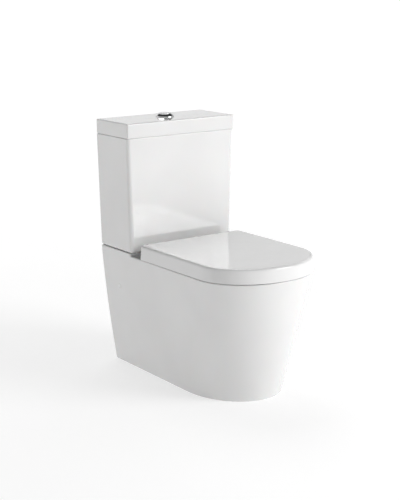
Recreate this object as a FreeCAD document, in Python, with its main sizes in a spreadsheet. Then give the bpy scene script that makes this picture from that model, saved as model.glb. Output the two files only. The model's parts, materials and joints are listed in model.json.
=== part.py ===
import math
import os
import re

import FreeCAD
import Part
import Sketcher

# Close coupled toilet suite, back to the wall, with a dual flush cistern.
#
# Frame: origin on the floor under the middle of the suite, +Z up, the toilet faces -Y and its
# back stands against the wall plane at y = depth / 2.  Places along Y are given as distances
# from that wall plane.  All sizes are millimetres; a size that starts with = follows others.

DIMENSIONS = [
    # overall
    ("depth", 684, "wall to the front of the pan"),
    # pan
    ("pan_wall", 12, "thickness of the china skirt"),
    ("platform_top", 377, "height of the platform that carries the cistern"),
    ("platform_depth", 165, "wall to the front face of the platform"),
    ("platform_rear_half", 185.5, "half width of the platform at the wall"),
    ("rim_half", 188.5, "half width of the pan at the rim"),
    ("rim_top", 369.5, "height of the rim and the hinge shelf"),
    ("rim_bulge", 158, "length of the rounded front, seen from above"),
    ("rim_under", 355, "height of the china ceiling inside the skirt"),
    ("rim_round", 4, "rounding of the rim's outer edge"),
    ("waist_height", 190, "height of the middle section of the skirt"),
    ("waist_rear_half", 166.5, "half width of the skirt there, at the wall"),
    ("waist_half", 170, "half width of the skirt there"),
    ("waist_front", 638, "wall to the front of the skirt there"),
    ("waist_bulge", 172, "length of the rounded front there"),
    ("foot_rear_half", 138.5, "half width of the foot at the wall"),
    ("foot_half", 145, "half width of the foot"),
    ("foot_front", 589, "wall to the front of the foot"),
    ("foot_bulge", 182, "length of the rounded front of the foot"),
    ("bowl_wall", 11, "thickness of the bowl"),
    ("bowl_half", 134, "half width of the bowl's mouth"),
    ("bowl_reach", 172, "half length of the bowl's mouth"),
    ("bowl_middle", 470, "wall to the middle of the bowl's mouth"),
    ("sump_middle", 400, "wall to the middle of the sump"),
    ("sump_radius", 40, "radius of the sump's floor"),
    ("sump_floor", 45, "height of the sump's floor"),
    ("trap_bore", 37, "bore radius of the trapway"),
    ("trap_wall", 10, "thickness of the trapway"),
    ("trap_start_height", 84, "height of the trapway's axis at the sump"),
    ("trap_knee", 305, "wall to the lower bend of the trapway"),
    ("trap_crown", 222, "wall to the upper bend of the trapway"),
    ("trap_crown_height", 202, "height of the trapway's axis at the upper bend"),
    ("trap_bend", 55, "bend radius of the trapway's axis"),
    ("outlet_height", 185, "height of the outlet's axis"),
    ("outlet_radius", 51, "outside radius of the outlet spigot"),
    ("outlet_bore", 43, "bore radius of the outlet spigot"),
    ("outlet_length", 64, "length of the outlet spigot"),
    ("inlet_radius", "=stem_radius + 34", "outside radius of the flush inlet chamber"),
    ("inlet_bore", "=stem_radius + 6", "bore radius of the flush inlet"),
    ("inlet_floor", 312, "height of the flush inlet chamber's floor"),
    ("recess_radius", "=stem_radius + 25", "radius of the recess for the coupling seal"),
    ("recess_depth", 25, "depth of that recess"),
    ("channel_radius", 18, "bore radius of the channel from the inlet to the bowl"),
    # cistern
    ("valve_from_wall", 85, "wall to the axis of the flush valve, the bolts and the button"),
    ("cistern_top", 725, "height of the cistern's rim"),
    ("cistern_top_half", 194.5, "half width of the cistern at its rim"),
    ("cistern_top_depth", 177, "depth of the cistern at its rim"),
    ("cistern_low_half", 185.5, "half width of the cistern at its underside"),
    ("cistern_low_depth", 172, "depth of the cistern at its underside"),
    ("cistern_wall", 9, "thickness of the cistern's walls"),
    ("cistern_floor", 14, "thickness of the cistern's floor"),
    ("cistern_corner", 12, "rounding of the cistern's upright edges"),
    ("cistern_round", 10, "rounding of the cistern's lower edges"),
    ("wall_hole_radius", 4, "radius of the cistern's wall fixing holes"),
    ("wall_hole_half", 120, "half distance between the wall fixing holes"),
    ("wall_hole_height", 660, "height of the wall fixing holes"),
    # cistern lid
    ("lid_half", 195, "half width of the cistern lid"),
    ("lid_depth", 178.5, "depth of the cistern lid"),
    ("lid_top", "=cistern_top + 45", "height of the cistern lid's top"),
    ("lid_seam", 2, "height of the shadow gap under the cistern lid"),
    ("lid_step", 4, "depth of the shadow gap under the cistern lid"),
    ("lid_plate", 12, "thickness of the cistern lid's top"),
    ("lid_lip", 9, "height of the lip that holds the lid in the cistern"),
    ("lid_lip_wall", 4, "thickness of that lip"),
    ("lid_lip_gap", 1.5, "clearance between the lip and the cistern wall"),
    ("lid_round", 5, "rounding of the cistern lid's edges"),
    # seat and seat lid
    ("cover_half", 189, "half width of the seat lid at its lower edge"),
    ("cover_top_half", 184, "half width of the seat lid at its top"),
    ("cover_low", 371.3, "height of the seat lid's lower edge"),
    ("cover_top", 413, "height of the seat lid's top"),
    ("cover_rear", 214, "wall to the seat lid's back edge"),
    ("cover_wall", 4.5, "thickness of the seat lid's skirt"),
    ("cover_plate", 5, "thickness of the seat lid's top"),
    ("cover_corner", 18, "rounding of the seat lid's back corners, seen from above"),
    ("cover_round", 7, "rounding of the seat lid's top edge"),
    ("cover_taper", 5, "how far the top of the seat lid's front lies behind its lower edge"),
    ("seat_low", 378, "height of the seat's underside"),
    ("seat_top", 400, "height of the seat's top"),
    ("seat_inset", 11, "how far the seat lies inside the seat lid's outline"),
    ("seat_round", 7, "rounding of the seat's upper edges"),
    ("seat_under_round", 2.5, "rounding of the seat's lower edges"),
    ("seat_hole_half", 113, "half width of the seat's opening"),
    ("seat_hole_reach", 148, "half length of the seat's opening"),
    ("seat_hole_middle", 474, "wall to the middle of the seat's opening"),
    ("buffer_radius", 7, "radius of the rubber buffers"),
    # hinge
    ("hinge_from_wall", 232, "wall to the hinge axis"),
    ("hinge_height", 391.5, "height of the hinge axis"),
    ("hinge_half", 77.5, "half distance between the hinge posts"),
    ("post_width", 16, "width of a hinge post"),
    ("knuckle_width", 12, "width of a hinge knuckle"),
    ("knuckle_radius", 11, "outside radius of the hinge knuckles and posts"),
    ("pin_radius", 4, "radius of the hinge pins"),
    ("post_foot_radius", 15, "radius of a hinge post's foot"),
    ("post_foot_height", 3, "height of a hinge post's foot"),
    ("seat_gap", 14, "hinge axis to the seat's back edge"),
    # flush button
    ("bezel_radius", 28.5, "radius of the button's flange"),
    ("bezel_edge", 2.5, "height of the flange's edge"),
    ("bezel_rise", 9.5, "height of the bezel above the cistern lid"),
    ("bezel_crown", 20.5, "radius of the bezel's top edge"),
    ("bezel_tube", 21, "outside radius of the bezel's threaded tube"),
    ("bezel_length", 58, "length of the bezel's threaded tube"),
    ("button_radius", 18.5, "radius of the two buttons together"),
    ("button_rise", 12, "height of the buttons above the cistern lid"),
    ("button_height", 20, "height of a button"),
    ("button_split", 4, "how far the split lies from the button's middle"),
    ("rod_radius", 2.5, "radius of the push rods"),
    ("rod_offset", 15.5, "plunger axis from the flush valve's axis, along X"),
    ("plunger_radius", 3.5, "radius of the valve's plungers"),
    ("plunger_rise", 10, "height of a plunger above the tower"),
    ("plunger_drop", 12, "length of a plunger inside the tower"),
    ("seal_height", 5, "thickness of the flush seal"),
    # flush valve
    ("stem_radius", 30, "outside radius of the flush valve's threaded stem"),
    ("stem_bore", 25, "bore radius of the flush valve"),
    ("stem_bottom", 350, "height of the stem's lower end"),
    ("washer_height", 3, "thickness of the rubber washers in the cistern"),
    ("valve_seat", 404, "height of the valve seat"),
    ("tower_radius", "=stem_radius + 8", "outside radius of the valve tower"),
    ("tank_height", "=cistern_top - platform_top", "height of the cistern without its lid"),
    ("tower_low", "=platform_top + tank_height * 93 / 348", "height of the tower's lower edge"),
    ("tower_top", "=platform_top + tank_height * 227 / 348", "height of the tower's top"),
    ("tower_wall", 3, "thickness of the tower"),
    ("overflow_radius", 9.5, "outside radius of the overflow tube"),
    ("overflow_top", "=platform_top + tank_height * 268 / 348", "height of the overflow tube"),
    # fasteners and fits
    ("bolt_half", 85, "half distance between the coupling bolts"),
    ("bolt_radius", 4, "radius of the M8 bolts"),
    ("running_fit", 0.05, "radial clearance of a hinge pin in its knuckle"),
    ("slide_fit", 0.3, "radial clearance of a sliding piece"),
    ("joint_gap", 0.3, "gap between moving pieces, end to end"),
    ("hole_gap", 1.5, "radial clearance of a bolt in a china hole"),
    ("bolt_head_radius", 7.5, "corner radius of the coupling bolts' heads"),
    ("bolt_head_height", 5.5, "height of the coupling bolts' heads"),
    ("wing_hub", 4, "thickness of a wing nut's hub round the bolt"),
    ("wing_height", 9, "height of a wing nut's hub"),
    ("wing_span", 13, "reach of a wing past the bolt"),
    ("wing_thick", 3, "thickness of a wing"),
    # fill valve
    ("fill_x", -130, "X of the fill valve's axis"),
    ("tail_radius", 10.4, "outside radius of the G 1/2 inlet tail"),
    ("tail_bottom", 338, "height of the inlet tail's lower end"),
    ("column_radius", 13, "outside radius of the fill valve's column"),
    ("head_radius", 19, "outside radius of the fill valve's head"),
    ("head_low", "=head_top - 20", "height of the head's underside"),
    ("head_top", "=arm_height - 10", "height of the head's top"),
    ("float_radius", 28, "outside radius of the float"),
    ("float_low", "=platform_top + tank_height * 213 / 348", "height of the float's underside"),
    ("float_height", 46, "height of the float"),
    ("arm_length", 34, "float rod to the float arm's pivot"),
    ("arm_height", "=platform_top + tank_height * 321 / 348", "height of the float arm's pivot"),
    ("arm_offset", 8, "fill valve's axis to the float arm's pivot"),
    ("arm_width", 8, "width of the float arm"),
    ("arm_thick", 5, "thickness of the float arm"),
    ("arm_pin_radius", 1.5, "radius of the float arm's pin"),
    ("ear_half", 4, "half width of the two ears that hold the float arm's pin"),
    ("ear_thick", 3, "thickness of an ear"),
    ("collar_height", 2, "height of a collar on the float rod"),
    ("collar_gap", 1.5, "gap between the float arm and a collar of the float rod"),
    ("tail_nut_height", 10, "height of the nut on the inlet tail"),
    ("float_rod_radius", 2, "radius of the float rod"),
    # side fixings
    ("fixing_from_wall", 84, "wall to the side fixing screws"),
    ("fixing_height", 261, "height of the side fixing screws"),
    ("cap_radius", 6, "radius of the cover caps"),
    ("screw_radius", 3, "radius of the side fixing screws"),
    ("screw_head_radius", 5.5, "radius of their heads"),
    ("screw_hole_radius", 3.6, "radius of their holes in the china"),
    ("screw_past", 8, "length of a screw past its wall bracket"),
    ("bracket_reach", 20, "wall bracket past the screw's axis"),
    ("bracket_plate", 3, "thickness of the wall brackets"),
    ("bracket_height", 60, "height of the wall brackets"),
    ("bracket_wing", 40, "width of the wall brackets' wall side"),
    ("bracket_hole_radius", 3.5, "radius of the wall brackets' screw holes"),
    ("bracket_hole_half", 18, "half distance between the screw holes of a wall bracket"),
]

Vector = FreeCAD.Vector
doc = FreeCAD.newDocument("CloseCoupledToilet")
sheet = doc.addObject("Spreadsheet::Sheet", "Dims")
for row, (alias, size, meaning) in enumerate(DIMENSIONS, start=1):
    sheet.set("A%d" % row, alias)
    sheet.set("B%d" % row, str(size))
    sheet.setAlias("B%d" % row, alias)
    sheet.set("C%d" % row, meaning)
doc.recompute()
ALIASES = {alias for alias, size, meaning in DIMENSIONS}
NODES = {}


# ---------------------------------------------------------------- expressions

def bound(text):
    """Turn the sheet's words in an expression into references to its cells."""
    return re.sub(r"[a-z_]\w*", lambda m: "Dims." + m.group() if m.group() in ALIASES else m.group(),
                  "(" + str(text) + ")")


def value(text):
    """The number that an expression of the sheet's words stands for."""
    return float(sheet.evalExpression(bound(text)))


def at_wall(distance):
    """The Y expression of a place a distance in front of the wall."""
    return "depth / 2 - (%s)" % distance


def bind(item, **sizes):
    """Bind properties to expressions; place_x stands for Placement.Base.x."""
    for name, text in sizes.items():
        prop = "Placement.Base." + name[-1] if name.startswith("place_") else name
        item.setExpression(prop, bound(text))


def node(label, item):
    """Give a finished sub-part its label, which is its file's name."""
    item.Label = label
    NODES[label] = item
    return item


# ---------------------------------------------------------------- part design helpers

def new_body(name, x="0", from_wall=None):
    """An empty body, with its own axes at x and at a distance from the wall."""
    body = doc.addObject("PartDesign::Body", name + "_body")
    bind(body, place_x=x)
    if from_wall is not None:
        bind(body, place_y=at_wall(from_wall))
    return body


def sketch_on(body, role, offset="0"):
    """A sketch on one of the body's own origin planes, moved along the plane's normal."""
    sketch = body.newObject("Sketcher::SketchObject", body.Name + "_sketch")
    plane = next(f for f in body.Origin.OriginFeatures if f.Role == role)
    sketch.AttachmentSupport = [(plane, "")]
    sketch.MapMode = "FlatFace"
    sketch.setExpression("AttachmentOffset.Base.z", bound(offset))
    return sketch


def polygon(sketch, points):
    """A closed outline whose corners are pinned to pairs of expressions."""
    spots = [Vector(value(u), value(v), 0) for u, v in points]
    first = sketch.GeometryCount
    count = len(spots)
    for i, spot in enumerate(spots):
        sketch.addGeometry(Part.LineSegment(spot, spots[(i + 1) % count]), False)
    for i in range(count):
        sketch.addConstraint(
            Sketcher.Constraint("Coincident", first + i, 2, first + (i + 1) % count, 1))
    for i, (u, v) in enumerate(points):
        for kind, text in (("DistanceX", u), ("DistanceY", v)):
            rule = Sketcher.Constraint(kind, -1, 1, first + i, 1, value(text))
            sketch.setExpression("Constraints[%d]" % sketch.addConstraint(rule), bound(text))


def rectangle(sketch, left, low, right, high):
    """A rectangle pinned to four expressions."""
    polygon(sketch, [(left, low), (right, low), (right, high), (left, high)])


def circle(sketch, u, v, radius):
    """A circle pinned to three expressions."""
    place = Vector(value(u), value(v), 0)
    index = sketch.addGeometry(Part.Circle(place, Vector(0, 0, 1), value(radius)), False)
    rules = (("DistanceX", u, (-1, 1, index, 3)), ("DistanceY", v, (-1, 1, index, 3)),
             ("Radius", radius, (index,)))
    for kind, text, where in rules:
        rule = Sketcher.Constraint(kind, *where, value(text))
        sketch.setExpression("Constraints[%d]" % sketch.addConstraint(rule), bound(text))


def feature(body, kind, profile=None, **sizes):
    """Add a PartDesign feature and compute it."""
    item = body.newObject("PartDesign::" + kind, body.Name + "_" + kind.lower())
    if profile is not None:
        item.Profile = profile
    bind(item, **sizes)
    doc.recompute()
    return item


def turned(label, profile, x="0", from_wall="valve_from_wall"):
    """A body turned about an upright axis from a profile of (radius, height) pairs."""
    body = new_body(label, x, from_wall)
    sketch = sketch_on(body, "XZ_Plane")
    polygon(sketch, profile)
    revolution = body.newObject("PartDesign::Revolution", label + "_revolution")
    revolution.Profile = sketch
    revolution.ReferenceAxis = (sketch, ["V_Axis"])
    revolution.Angle = 360
    doc.recompute()
    return body


def ring(label, inner, outer, low, high, x="0", from_wall="valve_from_wall"):
    """A turned ring, tube or washer; an inner radius of 0 makes it solid."""
    profile = [(inner, low), (outer, low), (outer, high), (inner, high)]
    return turned(label, profile, x, from_wall)


def fillet(body, base, radius, chosen):
    """Round the chosen edges of a feature; chosen is a test on an edge."""
    names = ["Edge%d" % i for i, edge in enumerate(base.Shape.Edges, start=1) if chosen(edge)]
    item = body.newObject("PartDesign::Fillet", body.Name + "_fillet")
    item.Base = (base, names)
    bind(item, Radius=radius)
    doc.recompute()
    return item


# ---------------------------------------------------------------- part helpers

def block(name, x, y, z):
    """A box from three (low, high) pairs of expressions."""
    item = doc.addObject("Part::Box", name)
    for (low, high), size, place in zip((x, y, z), ("Length", "Width", "Height"), "xyz"):
        bind(item, **{size: "(%s) - (%s)" % (high, low), "place_" + place: low})
    return item


def cylinder(name, axis, radius, start, length, x="0", y="0", z="0"):
    """A cylinder along X, Y or Z from its start; the other two places are given."""
    item = doc.addObject("Part::Cylinder", name)
    turn = {"X": (Vector(0, 1, 0), 90), "Y": (Vector(1, 0, 0), -90), "Z": (Vector(0, 0, 1), 0)}
    item.Placement.Rotation = FreeCAD.Rotation(*turn[axis])
    places = {"X": (start, y, z), "Y": (x, start, z), "Z": (x, y, start)}[axis]
    bind(item, Radius=radius, Height=length,
         place_x=places[0], place_y=places[1], place_z=places[2])
    return item


def shaped(name, shape):
    """A free-form shape as an object of the document."""
    item = doc.addObject("Part::Feature", name)
    item.Shape = shape
    return item


def fused(name, items):
    """Several pieces joined into one."""
    item = doc.addObject("Part::MultiFuse", name)
    item.Shapes = items
    return item


def cut(name, base, tools):
    """A piece with one or more others taken out of it."""
    item = doc.addObject("Part::Cut", name)
    item.Base = base
    item.Tool = tools[0] if len(tools) == 1 else fused(name + "_tools", tools)
    return item


def mirrored(name, item):
    """The same piece on the other side of the suite."""
    twin = doc.addObject("Part::Mirroring", name)
    twin.Source = item
    twin.Normal = Vector(1, 0, 0)
    return twin


def pair(label, item):
    """A piece and its twin on the other side, as two solids of one node."""
    group = doc.addObject("Part::Compound", label + "_pair")
    group.Links = [item, mirrored(label + "_twin", item)]
    return node(label, group)


# ---------------------------------------------------------------- free-form outlines

ROUND = math.sqrt(0.5)


def quarter(start, corner, end):
    """A quarter of an ellipse from start to end, inside the corner."""
    curve = Part.BezierCurve()
    curve.setPoles([start, corner, end])
    curve.setWeight(2, ROUND)
    return curve.toShape()


def plan_outline(height, rear_half, half, rear, front, bulge, corner=0.0):
    """A D-shaped wire seen from above: square back, straight sides, elliptic front.

    rear and front are Y places; a corner rounds the two back corners.
    """
    flank = front + bulge

    def spot(x, y):
        return Vector(x, y, height)

    edges = [Part.makeLine(spot(corner - rear_half, rear), spot(rear_half - corner, rear))]
    if corner > 0:
        edges.append(quarter(spot(rear_half - corner, rear), spot(rear_half, rear),
                             spot(rear_half, rear - corner)))
    edges.append(Part.makeLine(spot(rear_half, rear - corner), spot(half, flank)))
    edges.append(quarter(spot(half, flank), spot(half, front), spot(0, front)))
    edges.append(quarter(spot(0, front), spot(-half, front), spot(-half, flank)))
    edges.append(Part.makeLine(spot(-half, flank), spot(-rear_half, rear - corner)))
    if corner > 0:
        edges.append(quarter(spot(-rear_half, rear - corner), spot(-rear_half, rear),
                             spot(corner - rear_half, rear)))
    return Part.Wire(edges)


def oval(height, middle, half, reach):
    """An elliptic wire seen from above, half wide to each side and reach long each way."""
    east, west = Vector(half, middle, height), Vector(-half, middle, height)
    north, south = Vector(0, middle + reach, height), Vector(0, middle - reach, height)
    return Part.Wire([
        quarter(east, Vector(half, middle + reach, height), north),
        quarter(north, Vector(-half, middle + reach, height), west),
        quarter(west, Vector(-half, middle - reach, height), south),
        quarter(south, Vector(half, middle - reach, height), east),
    ])


def bent_path(points, radius):
    """A wire through the points, in the plane x = 0, with tangent arcs at the inner ones."""
    edges = []
    start = points[0]
    for before, bend, after in zip(points, points[1:], points[2:]):
        towards = (before - bend).normalize()
        away = (after - bend).normalize()
        half_turn = (math.pi - towards.getAngle(away)) / 2
        reach = radius * math.tan(half_turn)
        bisector = (towards + away).normalize()
        middle = bend + bisector * (radius / math.cos(half_turn) - radius)
        entry, leave = bend + towards * reach, bend + away * reach
        edges.append(Part.makeLine(start, entry))
        edges.append(Part.Arc(entry, middle, leave).toShape())
        start = leave
    edges.append(Part.makeLine(start, points[-1]))
    return Part.Wire(edges)


def all_at(edge, height):
    """Whether a whole edge lies at one height."""
    box = edge.BoundBox
    return abs(box.ZMin - height) < 0.01 and abs(box.ZMax - height) < 0.01


# ---------------------------------------------------------------- pan

REAR = value("depth / 2")
CAP_DEPTH = 7.0  # depth of the recess that a cover cap closes
SCREW_HEAD = 3.0  # height of a side screw's head in it


def trimmed(form, low, high, rear):
    """A form kept between two heights and in front of a flat back."""
    size = 2 * value("depth")
    room = Part.makeBox(size, size, high - low, Vector(-size / 2, rear - size, low))
    return form.common(room)


def skirt_loft(inset, low, high, rear):
    """The pan's outer form, or with an inset the hollow inside its skirt, between two heights."""
    sections = []
    past = rear + 1
    for height, name in ((0.0, "foot"), (value("waist_height"), "waist")):
        sections.append(plan_outline(
            height, value(name + "_rear_half") - inset, value(name + "_half") - inset, past,
            REAR - value(name + "_front") + inset, value(name + "_bulge") - inset))
    sections.append(plan_outline(
        value("platform_top"), value("platform_rear_half") - inset, value("rim_half") - inset,
        past, inset - REAR, value("rim_bulge") - inset))
    return trimmed(Part.makeLoft(sections, True, False), low, high, rear)


def side_half_width(height):
    """Half width of the skirt at the wall, at a height: the curve through its three sections."""
    stations = [(0.0, value("foot_rear_half")), (value("waist_height"), value("waist_rear_half")),
                (value("platform_top"), value("platform_rear_half"))]
    total = 0.0
    for i, (z_i, half_i) in enumerate(stations):
        share = half_i
        for j, (z_j, half_j) in enumerate(stations):
            if i != j:
                share *= (height - z_j) / (z_i - z_j)
        total += share
    return total


def pan_outside():
    """The skirted outer form with the raised platform and a rounded rim."""
    rim, top = value("rim_top"), value("platform_top")
    body = skirt_loft(0.0, 0.0, top, REAR)
    front = REAR - value("platform_depth")
    size = 2 * value("depth")
    body = body.cut(Part.makeBox(size, size, size, Vector(-size / 2, front - size, rim)))
    edges = [e for e in body.Edges if all_at(e, rim) and e.BoundBox.YMin < front - 1]
    return body.makeFillet(value("rim_round"), edges)


# Share of the way from the sump's floor to the rim, and the share by which the bowl has opened.
BOWL_CURVE = ((0.0, 0.0), (0.22, 0.20), (0.5, 0.58), (0.78, 0.90), (1.0, 1.0))
OVERLAP = 4.0


def bowl_form(wall):
    """The bowl's inside, or with a wall its outside, from the sump's floor to the rim."""
    rim, floor = value("rim_top"), value("sump_floor")
    half, reach = value("bowl_half"), value("bowl_reach")
    middle, sump = value("bowl_middle"), value("sump_middle")
    radius = value("sump_radius")
    sections = []
    for rise, spread in BOWL_CURVE:
        height = floor + rise * (rim - floor)
        below = wall if rise == 0.0 else 0.0
        sections.append(oval(height - below, REAR - sump - spread * (middle - sump),
                             radius + spread * (half - radius) + wall,
                             radius + spread * (reach - radius) + wall))
    return Part.makeLoft(sections, True, False)


def trap_form(radius):
    """The trapway as a bent tube of a radius, from the sump over the crown to the outlet."""
    path = bent_path([
        Vector(0, REAR - value("sump_middle"), value("trap_start_height")),
        Vector(0, REAR - value("trap_knee"), value("trap_start_height")),
        Vector(0, REAR - value("trap_crown"), value("trap_crown_height")),
        Vector(0, REAR - value("outlet_length") + OVERLAP, value("outlet_height")),
    ], value("trap_bend"))
    start = Vector(0, REAR - value("sump_middle"), value("trap_start_height"))
    profile = Part.Wire([Part.makeCircle(radius, start, Vector(0, 1, 0))])
    return path.makePipeShell([profile], True, False)


def make_pan():
    """The pan in three nodes: the skirt with its rim and platform, the bowl, and the trapway."""
    inlet_y = at_wall("valve_from_wall")
    bowl_back = "(bowl_middle - bowl_reach)"
    channel_height = "inlet_floor + channel_radius + 2"
    bowl_outside = shaped("bowl_outside", trimmed(
        bowl_form(value("bowl_wall")), 0.0, value("rim_under"), REAR))
    bowl_inside = shaped("bowl_inside", bowl_form(0.0))
    trap_outside = shaped("trap_outside", trap_form(value("trap_bore + trap_wall")))
    trap_inside = shaped("trap_inside", trap_form(value("trap_bore")))
    channel_bore = cylinder("flush_channel_bore", "Y", "channel_radius",
                            at_wall("%s + 2 * bowl_wall" % bowl_back),
                            "%s + 2 * bowl_wall - valve_from_wall" % bowl_back, z=channel_height)
    node("pan_bowl", cut("bowl_china", bowl_outside, [bowl_inside, trap_inside, channel_bore]))

    spigot = cylinder("outlet_spigot", "Y", "outlet_radius", at_wall("outlet_length"),
                      "outlet_length", z="outlet_height")
    spigot_bore = cylinder("outlet_bore_cut", "Y", "outlet_bore", at_wall("outlet_length"),
                           "outlet_length + 1", z="outlet_height")
    node("pan_trapway", cut("trapway_china", fused("trapway_solid", [trap_outside, spigot]),
                            [trap_inside, spigot_bore, bowl_outside]))

    hollow = skirt_loft(value("pan_wall"), -1.0, value("rim_under"), REAR + 50)
    shell = cut("pan_shell", shaped("pan_outside", pan_outside()), [shaped("pan_hollow", hollow)])
    solid = fused("pan_solid", [
        shell,
        cylinder("inlet_chamber", "Z", "inlet_radius", "inlet_floor - pan_wall",
                 "rim_under - inlet_floor + pan_wall + 1", y=inlet_y),
        cylinder("flush_channel", "Y", "channel_radius + bowl_wall",
                 at_wall("%s + %g" % (bowl_back, OVERLAP)),
                 "%s + %g - valve_from_wall" % (bowl_back, OVERLAP), z=channel_height),
    ])
    tools = [
        bowl_outside, bowl_inside, channel_bore,
        cylinder("inlet_recess", "Z", "recess_radius", "platform_top - recess_depth",
                 "recess_depth + 1", y=inlet_y),
        cylinder("inlet_bore_cut", "Z", "inlet_bore", "inlet_floor",
                 "platform_top - inlet_floor", y=inlet_y),
        cylinder("inlet_tail_clearance", "Z", "tail_radius + 12", "rim_under - 1",
                 "platform_top - rim_under + 2", x="fill_x", y=inlet_y),
        cylinder("fixing_holes", "X", "screw_hole_radius", "-platform_rear_half",
                 "2 * platform_rear_half", y=at_wall("fixing_from_wall"), z="fixing_height"),
    ]
    for side, sign in (("left", "-"), ("right", "")):
        tools.append(cylinder("hinge_bolt_hole_" + side, "Z", "bolt_radius + hole_gap",
                              "rim_under - 1", "rim_top - rim_under + 2",
                              x=sign + "hinge_half", y=at_wall("hinge_from_wall")))
        tools.append(cylinder("coupling_hole_" + side, "Z", "bolt_radius + hole_gap",
                              "rim_under - 1", "platform_top - rim_under + 2",
                              x=sign + "bolt_half", y=inlet_y))
    face = side_half_width(value("fixing_height")) - CAP_DEPTH
    for start in (face, -face - 40):
        tools.append(cylinder("cap_recess", "X", "cap_radius + 0.2", "%.3f" % start, "40",
                              y=at_wall("fixing_from_wall"), z="fixing_height"))
    node("pan", cut("pan_china", solid, tools))


# ---------------------------------------------------------------- side fixings

def make_side_fixings():
    """Cover caps, screws and wall brackets that hold the pan to the wall."""
    y, z = at_wall("fixing_from_wall"), "fixing_height"
    seat = side_half_width(value("fixing_height")) - CAP_DEPTH
    wall_in = side_half_width(value("fixing_height - bracket_height / 2")) - value("pan_wall")
    inner = "%.3f" % (wall_in - 0.3)
    cap = cylinder("cap", "X", "cap_radius", "%.3f" % (seat + SCREW_HEAD + 0.2),
                   "%.3f" % (CAP_DEPTH - SCREW_HEAD + 1.0), y=y, z=z)
    edge = doc.addObject("Part::Fillet", "cap_rounded")
    edge.Base = cap
    doc.recompute()
    outer = [i for i, e in enumerate(cap.Shape.Edges, start=1)
             if e.BoundBox.XMin > cap.Shape.BoundBox.XMax - 0.01]
    edge.Edges = [(i, 1.2, 1.2) for i in outer]
    pair("fixing_cover_caps", edge)
    head = cylinder("screw_head", "X", "screw_head_radius", "%.3f" % seat, SCREW_HEAD, y=y, z=z)
    shank = cylinder("screw_shank", "X", "screw_radius",
                     inner + " - bracket_plate - screw_past",
                     "%.3f - (%s) + bracket_plate + screw_past + 0.5" % (seat, inner), y=y, z=z)
    pair("side_fixing_screws", fused("side_screw", [head, shank]))
    low, high = "fixing_height - bracket_height / 2", "fixing_height + bracket_height / 2"
    cheek = block("bracket_cheek", (inner + " - bracket_plate", inner),
                  (at_wall("fixing_from_wall + bracket_reach"), at_wall("0")), (low, high))
    wing = block("bracket_wing_plate", (inner + " - bracket_wing", inner),
                 (at_wall("bracket_plate"), at_wall("0")), (low, high))
    holes = [cylinder("bracket_tapping", "X", "screw_radius", inner + " - 2 * bracket_plate",
                      "3 * bracket_plate", y=y, z=z)]
    for sign in ("-", "+"):
        holes.append(cylinder("bracket_wall_hole", "Y", "bracket_hole_radius",
                              at_wall("2 * bracket_plate"), "3 * bracket_plate",
                              x=inner + " - bracket_wing / 2 - bracket_plate / 2",
                              z="fixing_height %s bracket_hole_half" % sign))
    pair("wall_brackets", cut("bracket", fused("bracket_angle", [cheek, wing]), holes))


# ---------------------------------------------------------------- cistern

def tank_loft(inset, low, high):
    """The tank's tapered form, or with an inset its hollow, between two heights."""
    sections = []
    under, rim = value("platform_top"), value("cistern_top")
    corner = value("cistern_corner") - inset
    for height in (low, high):
        share = (height - under) / (rim - under)
        half, depth = [value("cistern_low_" + name) * (1 - share)
                       + value("cistern_top_" + name) * share - inset for name in ("half", "depth")]
        rear, front = REAR - inset + (0 if inset else 1), REAR - depth

        def spot(x, y):
            return Vector(x, y, height)

        sections.append(Part.Wire([
            Part.makeLine(spot(-half, rear), spot(half, rear)),
            Part.makeLine(spot(half, rear), spot(half, front + corner)),
            quarter(spot(half, front + corner), spot(half, front), spot(half - corner, front)),
            Part.makeLine(spot(half - corner, front), spot(corner - half, front)),
            quarter(spot(corner - half, front), spot(-half, front), spot(-half, front + corner)),
            Part.makeLine(spot(-half, front + corner), spot(-half, rear)),
        ]))
    return Part.makeLoft(sections, True, True)


def make_cistern():
    """The china tank: tapered walls, rounded lower edges, holes for the valves and bolts."""
    under, rim, wall = value("platform_top"), value("cistern_top"), value("cistern_wall")
    outer = trimmed(tank_loft(0.0, under, rim), under, rim, REAR)
    outer = outer.makeFillet(value("cistern_round"), [
        e for e in outer.Edges if all_at(e, under) and e.BoundBox.YMin < REAR - 1])
    inner = tank_loft(wall, under + value("cistern_floor"), rim + 1)
    y, low, through = at_wall("valve_from_wall"), "platform_top - 1", "cistern_floor + 2"
    tools = [
        shaped("cistern_hollow", inner),
        cylinder("flush_valve_hole", "Z", "stem_radius + 1", low, through, y=y),
        cylinder("fill_valve_hole", "Z", "tail_radius + 0.8", low, through, x="fill_x", y=y),
    ]
    for side, sign in (("left", "-"), ("right", "")):
        tools.append(cylinder("cistern_bolt_hole_" + side, "Z", "bolt_radius + hole_gap", low,
                              through, x=sign + "bolt_half", y=y))
        tools.append(cylinder("cistern_wall_hole_" + side, "Y", "wall_hole_radius",
                              at_wall("cistern_wall + 1"), "cistern_wall + 2",
                              x=sign + "wall_hole_half", z="wall_hole_height"))
    return node("cistern", cut("cistern_china", shaped("cistern_outside", outer), tools))


def lid_outline(body, inset, height):
    """The lid's outline, or with an inset the outline of a layer under it."""
    sketch = sketch_on(body, "XY_Plane", height)
    rectangle(sketch, "%s - lid_half" % inset, at_wall("lid_depth - (%s)" % inset),
              "lid_half - (%s)" % inset, at_wall(inset))
    return sketch


def lip_outline(body, inset, height):
    """The outside of the lid's lip, or with an inset its inside."""
    sketch = sketch_on(body, "XY_Plane", height)
    gap = "cistern_wall + lid_lip_gap + %s" % inset
    half = "(cistern_top_half - (%s))" % gap
    rectangle(sketch, "-" + half, at_wall("cistern_top_depth - (%s)" % gap), half, at_wall(gap))
    return sketch


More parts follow.
